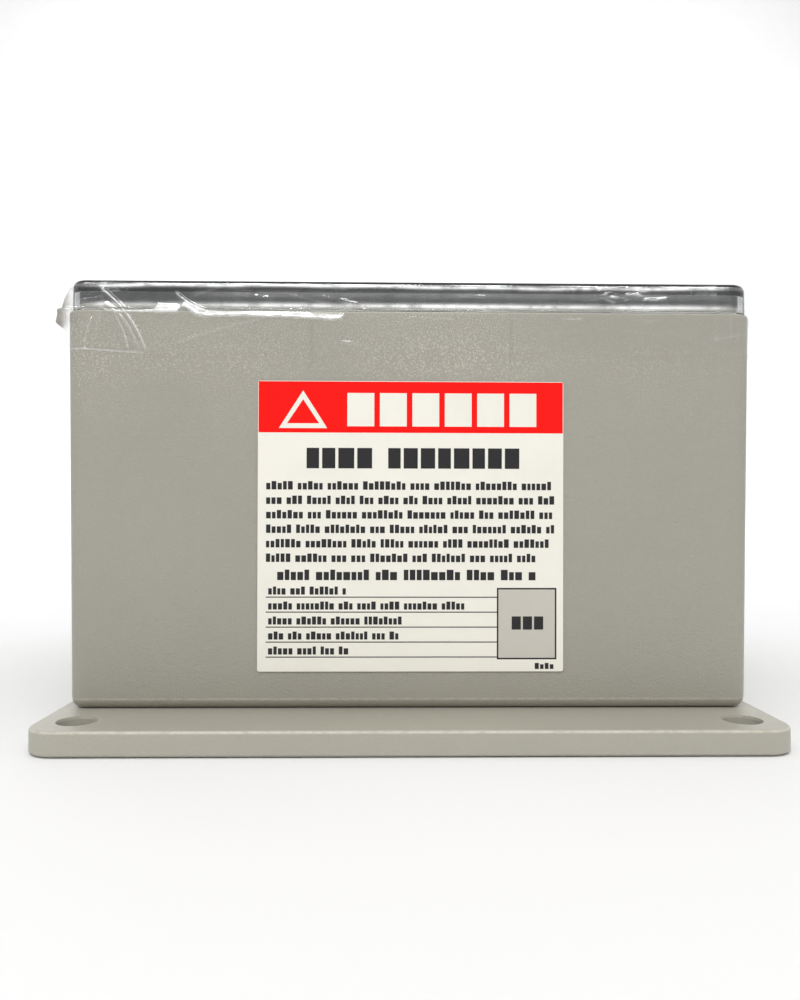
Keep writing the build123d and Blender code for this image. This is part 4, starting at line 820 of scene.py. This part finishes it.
# Along the front from its middle, height over the rim and depth of the slope, in millimetres.
TENTS = (
    (-78.0, 0.6, 0.0), (-76.0, 0.6, 0.9), (-72.0, 0.3, 1.2), (-68.0, 0.2, 0.8), (-64.2, 0.5, 1.1),
    (-63.4, 1.9, 2.8), (-58.2, 1.7, 2.6), (-57.6, 1.0, 0.2), (-56.8, 2.6, 1.6), (-53.5, 1.5, 3.0),
    (-51.0, 0.4, 2.2), (-46.0, 0.0, 1.5), (-40.0, 0.2, 1.9), (-34.0, -0.1, 1.6), (-27.0, -0.1, 1.9),
    (-21.0, -0.4, 2.0), (-17.5, -0.6, 1.6), (-16.5, -0.3, 0.3), (-8.0, 0.2, 0.4), (-5.0, 0.2, 0.0),
    (-3.0, -1.3, 0.0), (-2.0, -1.3, 0.5), (10.0, -1.4, 0.5), (11.5, -1.4, 0.0), (36.5, -1.3, 0.0),
    (38.0, -1.3, 0.6), (45.0, -1.4, 0.5), (46.0, -1.4, 0.0), (75.0, -1.3, 0.0), (76.5, -1.3, 0.6),
    (78.0, -1.3, 0.0),
)


class SURGE_OT_film(bpy.types.Operator):
    """Builds the creased clear film that wraps the cover"""

    bl_idname = "surge.film"
    bl_label = "Protective film"

    def execute(self, context):
        f = context.scene.surge_film
        half, corner = BOX_HIGH.x, 5.0 * MM
        cover_half = COVER_HIGH.x
        edge_r = 1.6 * MM + f.cling
        top = COVER_HIGH.z + f.cling
        straight = 2 * (half - corner)
        around = 4 * (straight + corner * math.pi / 2)
        s = self.spaced(f.columns, around, straight)
        outline, normal = outline_at(s, half, corner)

        # The side's profile from the top edge down: an arc over the cover's edge, the cover's
        # wall, an eased step out to the rim and the drafted wall of the box.
        v = np.linspace(0, 1, f.side_rows)[:, None]
        wave = 0.5 * MM * np.sin(s / around * 2 * math.pi * 5 + 1.0) + 0.35 * MM * np.sin(
            s / around * 2 * math.pi * 17 + 2.3)
        low = RIM_Z - f.drop + wave
        arc_end = 0.14
        arc = np.clip(v / arc_end, 0, 1) * math.pi / 2
        cover_off = cover_half - half + f.cling
        z_down = top - edge_r - (v - arc_end) / (1 - arc_end) * (top - edge_r - low)
        z = np.where(v < arc_end, top - edge_r + edge_r * np.cos(arc), z_down)
        wall = f.cling - (RIM_Z - z) * DRAFT
        step = smoothstep(RIM_Z - 0.1 * MM, RIM_Z + 0.5 * MM, z)
        offset = np.where(v < arc_end, cover_off - edge_r + edge_r * np.sin(arc),
                          wall + (cover_off - wall) * step)
        offset = np.broadcast_to(offset, (f.side_rows, f.columns)).copy()
        z = np.broadcast_to(z, offset.shape).copy()
        s_grid = np.broadcast_to(s, offset.shape)
        lift, crease_and_painted_light, tint = self.wrinkles(s_grid, z, around, straight, corner, f.seed)
        # The film's cut edge shows as a thin line at the front left.
        hem = smoothstep(0.965, 0.99, v) * smoothstep(-half, -half + 2 * MM, s) * (
            1 - smoothstep(-half + 17 * MM, -half + 21 * MM, s))
        crease_and_painted_light = crease_and_painted_light + 0.45 * hem
        offset += lift * smoothstep(0.0, 0.10, v)
        side_xy = outline[None] + normal[None] * offset[..., None]
        side = np.concatenate([side_xy, z[..., None]], -1)

        # The top: the side's first ring drawn in towards the centre, ring by ring.
        t = np.linspace(0, 1, f.top_rows, endpoint=False)[:, None, None] ** 0.6
        ring = side[:1]
        top_part = ring * np.array([1, 1, 0]) * t + ring * np.array([0, 0, 1])
        sag = self.top_waves(top_part[..., 0], top_part[..., 1])
        top_part[..., 2] += sag * (1 - smoothstep(0.85, 1.0, t[..., 0]))
        points = np.concatenate([top_part[1:], side])
        centre = np.array([[0.0, 0.0, top + float(sag[0].mean())]])
        rings = len(points)
        faces = quads(rings, f.columns, wrap_columns=True)[:, ::-1]
        hub = rings * f.columns
        ids = np.arange(f.columns)
        fan = np.stack([np.full(f.columns, hub), ids, (ids + 1) % f.columns], -1)
        film = new_piece(
            "protective_film_sheet", np.concatenate([points.reshape(-1, 3), centre]),
            [*faces, *fan], film_plastic(), "film",
        )
        flat_top = np.zeros((f.top_rows - 1) * f.columns)
        paint_points(film, "crease_and_painted_light", np.concatenate([flat_top, crease_and_painted_light.ravel(), [0.0]]))
        paint_points(film, "tint", np.concatenate([flat_top, tint.ravel(), [0.0]]))
        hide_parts("protective_film")
        # The film's cut is a cross: the cover's top and four skirts. It has no film in the four
        # corner squares; side is the width of the square round the cross.
        skirt = top - RIM_Z + f.drop
        side = 2 * cover_half + 2 * skirt
        return {"FINISHED"}

    def spaced(self, count, around, straight):
        """Distances round the film, four times as close together on the front's creased left
        half as elsewhere."""
        places = np.linspace(-around / 2, around / 2, 4001)
        near = (places > -straight / 2 - 8 * MM) & (places < -8 * MM)
        dense = np.cumsum(np.where(near, 4.0, 1.0))
        dense = (dense - dense[0]) / (dense[-1] - dense[0])
        return np.interp(np.arange(count) / count, dense, places)

    def wrinkles(self, s, z, around, straight, corner, seed):
        """How far the film stands off its clinging shape, and where it is creased, carries painted
        highlights or has its sheen taken out as painted shade: long soft tents along the seam, diagonal
        creases at the front left, and pleats at each corner."""
        rng = np.random.default_rng(seed)
        s = (s + around / 2) % around - around / 2
        lift = np.zeros_like(s)
        crease_and_painted_light = np.zeros_like(s)
        left = -straight / 2
        tent = tents(s, z)
        lift += tent
        # The tents' slopes are painted white as highlights.
        crease_and_painted_light += 0.75 * smoothstep(0.10 * MM, 0.30 * MM, tent)
        # A painted highlight runs along the film where it bends over the cover's top edge.
        fold = COVER_HIGH.z - (1.60 + 0.20 * np.sin(s / (23 * MM)) + 0.08 * np.sin(s / (4.3 * MM))) * MM
        rim = smoothstep(COVER_HIGH.z - 1.15 * MM, COVER_HIGH.z - 0.80 * MM, z)
        bend = np.exp(-(((z - fold) / (0.48 * MM)) ** 2)) * (1 - rim)
        front = smoothstep(left - 1 * MM, left + 5 * MM, s) * (1 - smoothstep(-left - 4 * MM, -left, s))
        crease_and_painted_light += bend * (0.25 + 0.85 * front)
        # A painted highlight lies as a pale band on the cover's foot, and a fainter pale band lies higher
        # up at the front.
        # Over the seam and over the cover's very edge, the film's sheen is taken out so that they show
        # dark: painted shade.
        haze = np.exp(-(((z - RIM_Z - 1.40 * MM) / (0.65 * MM)) ** 2))
        drift = 0.75 + 0.15 * np.sin(s / (31 * MM) + 1.0) + 0.10 * np.sin(s / (7.7 * MM))
        crease_and_painted_light += 1.15 * haze * drift * (0.3 + 0.7 * front)
        veil = np.exp(-(((z - RIM_Z - 4.2 * MM) / (0.95 * MM)) ** 2))
        crease_and_painted_light += 0.24 * veil * drift * front * smoothstep(left + 25 * MM, left + 30 * MM, s)
        painted_seam_shade = np.exp(-(((z - RIM_Z - 0.15 * MM) / (0.30 * MM)) ** 2))
        painted_seam_shade *= 1 - smoothstep(0.05 * MM, 0.2 * MM, tent)
        crease_and_painted_light -= 0.9 * (painted_seam_shade + rim)
        # Creases that run down from the front left corner. Their crests are painted white, partly as crease
        # whitening and partly as painted highlight.
        lines = (
            ((left + 3.8 * MM, RIM_Z + 5.6 * MM), (left + 15.6 * MM, RIM_Z - 9.8 * MM), 0.40, 1.0, -1.5),
            ((left + 4.8 * MM, RIM_Z + 2.0 * MM), (left + 13.5 * MM, RIM_Z - 8.8 * MM), 0.34, 0.6, -1.2),
            ((left + 7.0 * MM, RIM_Z + 0.6 * MM), (left + 11.3 * MM, RIM_Z - 9.8 * MM), 0.30, 0.7, -0.5),
            ((left + 2.2 * MM, RIM_Z - 2.0 * MM), (left + 0.4 * MM, RIM_Z - 10.5 * MM), 0.30, 0.5, 0.3),
            ((left + 22.5 * MM, RIM_Z + 4.5 * MM), (left + 30.5 * MM, RIM_Z - 0.5 * MM), 0.35, 0.8, 0.4),
            ((left + 48.0 * MM, RIM_Z - 1.2 * MM), (left + 22.0 * MM, RIM_Z - 8.6 * MM), 0.22, 0.25, 0.5),
        )
        for start, end, width, height, bow in lines:
            h, c = ridge(s, z, start, end, width * MM, height * MM, bow * MM)
            lift += h
            crease_and_painted_light += 0.8 * c * min(1.0, height)
        # Glints where the film is pinched over the cover's right half.
        for _ in range(14):
            x0 = rng.uniform(44, 63) * MM
            start = (x0, RIM_Z + rng.uniform(3.2, 6.2) * MM)
            end = (x0 + rng.uniform(1.5, 4.5) * MM, start[1] + rng.uniform(-1.2, 1.2) * MM)
            h, c = ridge(s, z, start, end, 0.28 * MM, rng.uniform(0.2, 0.6) * MM)
            lift += h
            crease_and_painted_light += 0.7 * c
        # Pleats gathered at each corner, and the ear that stands out at the front left one.
        side = straight + corner * math.pi / 2
        for number in range(4):
            middle = straight / 2 + corner * math.pi / 4 + number * side
            for _ in range(5):
                s0 = (middle + rng.uniform(-9, 9) * MM + around / 2) % around - around / 2
                start = (s0, RIM_Z + rng.uniform(2, 6) * MM)
                end = (s0 + rng.uniform(-4, 4) * MM, RIM_Z - rng.uniform(5, 10) * MM)
                h, c = ridge(s, z, start, end, 0.6 * MM, rng.uniform(0.12, 0.30) * MM)
                lift += h
                # Faint white on the pleats' crests: crease whitening and painted highlight.
                crease_and_painted_light += 0.10 * c
        ear = np.exp(-(((s - (left - corner * 0.9)) / (2.0 * MM)) ** 2))
        grow = np.clip((COVER_HIGH.z - 1.5 * MM - z) / (9.5 * MM), 0, 1)
        window = grow**0.6 * smoothstep(RIM_Z - 6.0 * MM, RIM_Z - 3.0 * MM, z)
        lift += 3.4 * MM * ear * window
        # Faint white on the ear: crease whitening and painted highlight.
        crease_and_painted_light += 0.10 * ear * window
        tint = np.clip(1.5 * ear * window, 0, 1)
        # Small random wrinkles all round.
        for _ in range(160):
            start = (rng.uniform(-around / 2, around / 2), RIM_Z + rng.uniform(-8, 6) * MM)
            angle = rng.uniform(-0.9, 0.9)
            length = rng.uniform(3, 14) * MM
            end = (start[0] + length * math.cos(angle), start[1] + length * math.sin(angle) * 0.5)
            h, c = ridge(s, z, start, end, rng.uniform(0.2, 0.5) * MM, rng.uniform(0.05, 0.25) * MM)
            lift += h
            # Faint white on the wrinkles' crests: crease whitening and painted highlight.
            crease_and_painted_light += 0.12 * c
        lift += 0.06 * MM * (1 + np.sin(s / (4.1 * MM) + 3.0 * np.sin(z / (3.0 * MM))))
        return lift, np.clip(crease_and_painted_light, -1, 1), tint

    def top_waves(self, x, y):
        """Slow swells of the film over the cover's flat top, as a sum of crossed sines."""
        a = np.sin(x / 0.019 + 1.3 * np.sin(y / 0.027))
        b = np.sin((x + y) / 0.013 + 0.7 * np.sin(x / 0.031))
        return 0.16 * MM * (2.0 + a + 0.8 * b) * 0.5


def on_label(points):
    """Moves a flat drawing onto the label: x across, y up from the label's foot, z outwards.
    The label's plane leans back with the wall's draft."""
    points = np.asarray(points, dtype=float)
    c, sn = math.cos(DRAFT_ANGLE), math.sin(DRAFT_ANGLE)
    x, y, z = points[..., 0], points[..., 1], points[..., 2]
    foot_y = LABEL_HIGH.y - 0.17 * MM
    return np.stack([x, foot_y - y * sn - z * c, LABEL_LOW.z + y * c - z * sn], -1)


class SURGE_OT_label(bpy.types.Operator):
    """Builds the label on the front wall with its plain printed shapes"""

    bl_idname = "surge.label"
    bl_label = "Label"

    def execute(self, context):
        t = context.scene.surge_label
        width = LABEL_HIGH.x - LABEL_LOW.x
        tall = (LABEL_HIGH.z - LABEL_LOW.z) / math.cos(DRAFT_ANGLE)
        self.width, self.tall = width, tall
        points, faces = rounded_slab((width, tall, 0.15 * MM), 0.5 * MM)
        points = points + np.array([0, tall / 2, 0])
        paper = new_piece(
            "front_label_paper", on_label(points), faces, flat_ink("label paper", (*t.paper, 1)),
            "root", smooth=False,
        )
        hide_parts("front_label")
        prints = (
            ("label_header", self.header_band(), flat_ink("red ink", (*t.header, 1), 0.3), 0.16),
            ("label_header_marks", self.header_marks(), flat_ink("white ink", (*t.paper, 1)), 0.175),
            ("label_dark_print", self.dark_print(t.seed), flat_ink("dark ink", (*t.ink, 1)), 0.165),
            ("label_patch", self.patch(), flat_ink("grey ink", (*t.patch, 1)), 0.165),
            ("label_patch_marks", self.patch_marks(), flat_ink("patch ink", (*t.ink, 1)), 0.175),
        )
        for each in prints:
            self.print_shapes(*each)
        return {"FINISHED"}

    def print_shapes(self, name, shapes, material, height):
        """One thin mesh of all the flat shapes of one ink. A shape is a closed outline in
        millimetres from the label's middle and top edge."""
        points, faces = [], []
        for outline in shapes:
            outline = np.asarray(outline, dtype=float) * MM
            x, y = outline[:, 0], self.tall - outline[:, 1]
            if np.sum(x * np.roll(y, -1) - np.roll(x, -1) * y) < 0:
                x, y = x[::-1], y[::-1]
            start = sum(len(p) for p in points)
            points.append(np.stack([x, y, np.full(len(x), height * MM)], -1))
            faces.append(list(range(start, start + len(x))))
        return new_piece(
            name, on_label(np.concatenate(points)), faces, material, "root", smooth=False
        )

    def bar(self, x0, x1, y0, y1):
        return [(x0, y0), (x1, y0), (x1, y1), (x0, y1)]

    def header_band(self):
        half = self.width / 2 / MM - 0.15
        return [self.bar(-half, half, 0.15, 12.9)]

    def header_marks(self):
        """A hollow triangle and six plain blocks."""
        shapes = []
        outer = [(-26.9, 2.4), (-20.9, 11.8), (-32.9, 11.8)]
        inner = [(-26.9, 4.6), (-22.9, 10.6), (-30.9, 10.6)]
        for k in range(3):
            shapes.append([outer[k], outer[(k + 1) % 3], inner[(k + 1) % 3], inner[k]])
        for k in range(6):
            x = -15.9 + k * 8.1
            shapes.append(self.bar(x, x + 6.7, 3.0, 11.3))
        return shapes

    def words(self, rng, x0, x1, y0, y1, letter, gap):
        """A row of short blocks in word-like groups, from x0 to x1."""
        shapes = []
        x = x0
        while x < x1 - letter:
            for _ in range(rng.integers(3, 9)):
                w = letter * rng.uniform(0.75, 1.15)
                if x + w > x1:
                    break
                rise = 0.0 if rng.random() < 0.35 else (y1 - y0) * 0.22
                shapes.append(self.bar(x, x + w, y0 + rise, y1))
                x += w + gap
            x += letter * 0.9
        return shapes

    def dark_print(self, seed):
        rng = np.random.default_rng(seed)
        shapes = []
        for x0, x1 in ((-26.0, -8.2), (-5.7, 27.6)):
            x = x0
            while x < x1 - 1.5:
                w = min(rng.uniform(3.0, 4.2), x1 - x)
                shapes.append(self.bar(x, x + w, 16.7, 21.8))
                x += w + 0.75
        for k in range(6):
            y = 25.0 + k * 3.6
            shapes += self.words(rng, -36.0, 36.2 if k < 5 else 31.7, y, y + 2.1, 1.05, 0.30)
        shapes += self.words(rng, -33.2, 32.6, 47.0, 49.6, 1.5, 0.34)
        for k, end in enumerate((-15.5, 13.7, -0.5, -2.0, -15.5)):
            y = 53.7 + k * 3.72
            shapes.append(self.bar(-36.0, 21.6, y, y + 0.26))
            shapes += self.words(rng, -35.4, end, y - 2.5, y - 0.5, 1.0, 0.28)
        x0, x1, y0, y1 = 21.5, 36.4, 51.5, 69.3
        shapes += [self.bar(x0, x1, y0, y0 + 0.4), self.bar(x0, x1, y1 - 0.4, y1)]
        shapes += [self.bar(x0, x0 + 0.4, y0, y1), self.bar(x1 - 0.4, x1, y0, y1)]
        shapes += self.words(rng, 31.0, 36.4, 70.2, 71.7, 0.9, 0.3)
        return shapes

    def patch(self):
        return [self.bar(21.9, 36.0, 51.9, 68.9)]

    def patch_marks(self):
        return [self.bar(25.2 + k * 2.8, 27.5 + k * 2.8, 58.6, 61.9) for k in range(3)]


class SURGE_OT_stage(bpy.types.Operator):
    """Makes the seamless paper, the soft lights, the world and the camera"""

    bl_idname = "surge.stage"
    bl_label = "Stage"

    def execute(self, context):
        self.paper()
        self.lights()
        self.world(context.scene)
        self.camera(context.scene)
        context.scene.view_settings.view_transform = "Standard"
        return {"FINISHED"}

    def paper(self):
        """A sheet that lies flat and then rises behind in a quarter circle and a wall."""
        u = np.linspace(0, 1, 60)[:, None]
        x = np.linspace(-3.5, 3.5, 12)[None]
        run, bend = 1.2, 0.9
        flat = np.minimum(u / 0.4, 1) * (run + 1.6) - 1.6
        angle = np.clip((u - 0.4) / 0.3, 0, 1) * math.pi / 2
        rise = np.clip((u - 0.7) / 0.3, 0, 1) * 2.5
        y = flat + bend * np.sin(angle)
        z = bend * (1 - np.cos(angle)) + rise - 0.0003
        points = np.stack(np.broadcast_arrays(x, y, z), -1)
        mesh = bpy.data.meshes.new("stage_paper")
        mesh.from_pydata(points.reshape(-1, 3), [], quads(60, 12).tolist())
        mesh.polygons.foreach_set("use_smooth", np.full(len(mesh.polygons), True))
        mesh.materials.append(stage_paper())
        paper = bpy.data.objects.new("stage_paper", mesh)
        bpy.context.scene.collection.objects.link(paper)

    def light(self, name, place, aim, size, power, colour=(1, 1, 1)):
        data = bpy.data.lights.new(name, "AREA")
        data.shape = "RECTANGLE"
        data.size, data.size_y = size
        data.energy = power
        data.color = colour
        lamp = bpy.data.objects.new(name, data)
        lamp.location = place
        lamp.rotation_mode = "QUATERNION"
        lamp.rotation_quaternion = (Vector(aim) - Vector(place)).to_track_quat("-Z", "Y")
        bpy.context.scene.collection.objects.link(lamp)

    def lights(self):
        self.light("front strip", (0.0, -0.86, 1.03), (0, -0.05, 0.06), (1.3, 0.20), 6.0)
        self.light("front softbox", (-0.2, -0.62, 1.30), (0, 0, 0.05), (1.4, 0.9), 2.0)
        self.light("side softbox", (1.1, 0.3, 0.9), (0, 0, 0.05), (0.9, 0.9), 1.0)
        self.light("back softbox", (-0.4, 1.1, 0.9), (0, 0, 0.05), (1.2, 0.7), 1.5)
        self.light("glint", (-0.14, -0.62, 0.66), (-0.02, -0.09, 0.09), (0.06, 0.06), 0.7)
        self.light("back wall", (0.0, 0.8, 1.3), (0, 1.9, 0.6), (2.6, 0.6), 22.0)

    def world(self, scene):
        """A pale studio: bright above, greyer near the horizon."""
        world = bpy.data.worlds.new("studio")
        world.use_nodes = True
        scene.world = world
        tree = world.node_tree
        place = tree.nodes.new("ShaderNodeTexCoord")
        split = tree.nodes.new("ShaderNodeSeparateXYZ")
        ramp = tree.nodes.new("ShaderNodeValToRGB")
        tree.links.new(place.outputs["Generated"], split.inputs[0])
        tree.links.new(split.outputs[2], ramp.inputs[0])
        ramp.color_ramp.elements[0].position = 0.0
        ramp.color_ramp.elements[0].color = (0.80, 0.80, 0.80, 1)
        ramp.color_ramp.elements[1].position = 0.6
        ramp.color_ramp.elements[1].color = (1.0, 1.0, 1.0, 1)
        tree.links.new(ramp.outputs[0], tree.nodes["Background"].inputs["Color"])
        tree.nodes["Background"].inputs["Strength"].default_value = 0.75

    def camera(self, scene):
        s = scene.surge_stage
        data = bpy.data.cameras.new("camera")
        data.lens = s.lens
        data.sensor_width = 36.0
        camera = bpy.data.objects.new("camera", data)
        forward = Vector((math.sin(s.yaw) * math.cos(s.pitch), math.cos(s.yaw) * math.cos(s.pitch),
                          math.sin(s.pitch)))
        right = Vector((math.cos(s.yaw), -math.sin(s.yaw), 0.0))
        up = right.cross(forward)
        right, up = (
            right * math.cos(s.roll) + up * math.sin(s.roll),
            up * math.cos(s.roll) - right * math.sin(s.roll),
        )
        turn = Matrix((right, up, -forward)).transposed()
        camera.matrix_world = Matrix.Translation(Vector(s.eye)) @ turn.to_4x4()
        data.clip_start = 0.01
        scene.collection.objects.link(camera)
        scene.camera = camera


class SURGE_PT_panel(bpy.types.Panel):
    """Lists the pieces of the device"""

    bl_label = "Surge Device"
    bl_idname = "SURGE_PT_panel"
    bl_space_type = "VIEW_3D"
    bl_region_type = "UI"
    bl_category = "Surge Device"

    def draw(self, context):
        for operator in OPERATORS:
            self.layout.operator(operator.bl_idname)


SETTINGS = {
    "surge_enclosure": EnclosureSettings,
    "surge_film": CoverFilmSettings,
    "surge_spring": SpringSettings,
    "surge_nipple": NippleSettings,
    "surge_label": LabelSettings,
    "surge_stage": StageSettings,
}
OPERATORS = (
    SURGE_OT_enclosure,
    SURGE_OT_cover,
    SURGE_OT_film,
    SURGE_OT_label,
    SURGE_OT_inside,
    SURGE_OT_springs,
    SURGE_OT_nipple,
    SURGE_OT_stage,
)
CLASSES = (*SETTINGS.values(), *OPERATORS, SURGE_PT_panel)


def register():
    """Registers the settings, the operators and the panel."""
    for each in CLASSES:
        bpy.utils.register_class(each)
    for name, settings in SETTINGS.items():
        setattr(bpy.types.Scene, name, PointerProperty(type=settings))


def unregister():
    """Takes everything that register added away again."""
    for name in SETTINGS:
        delattr(bpy.types.Scene, name)
    for each in reversed(CLASSES):
        bpy.utils.unregister_class(each)


def main():
    """Builds every piece in order."""
    register()
    for operator in OPERATORS:
        group, name = operator.bl_idname.split(".")
        getattr(getattr(bpy.ops, group), name)()


if __name__ == "__main__":
    main()
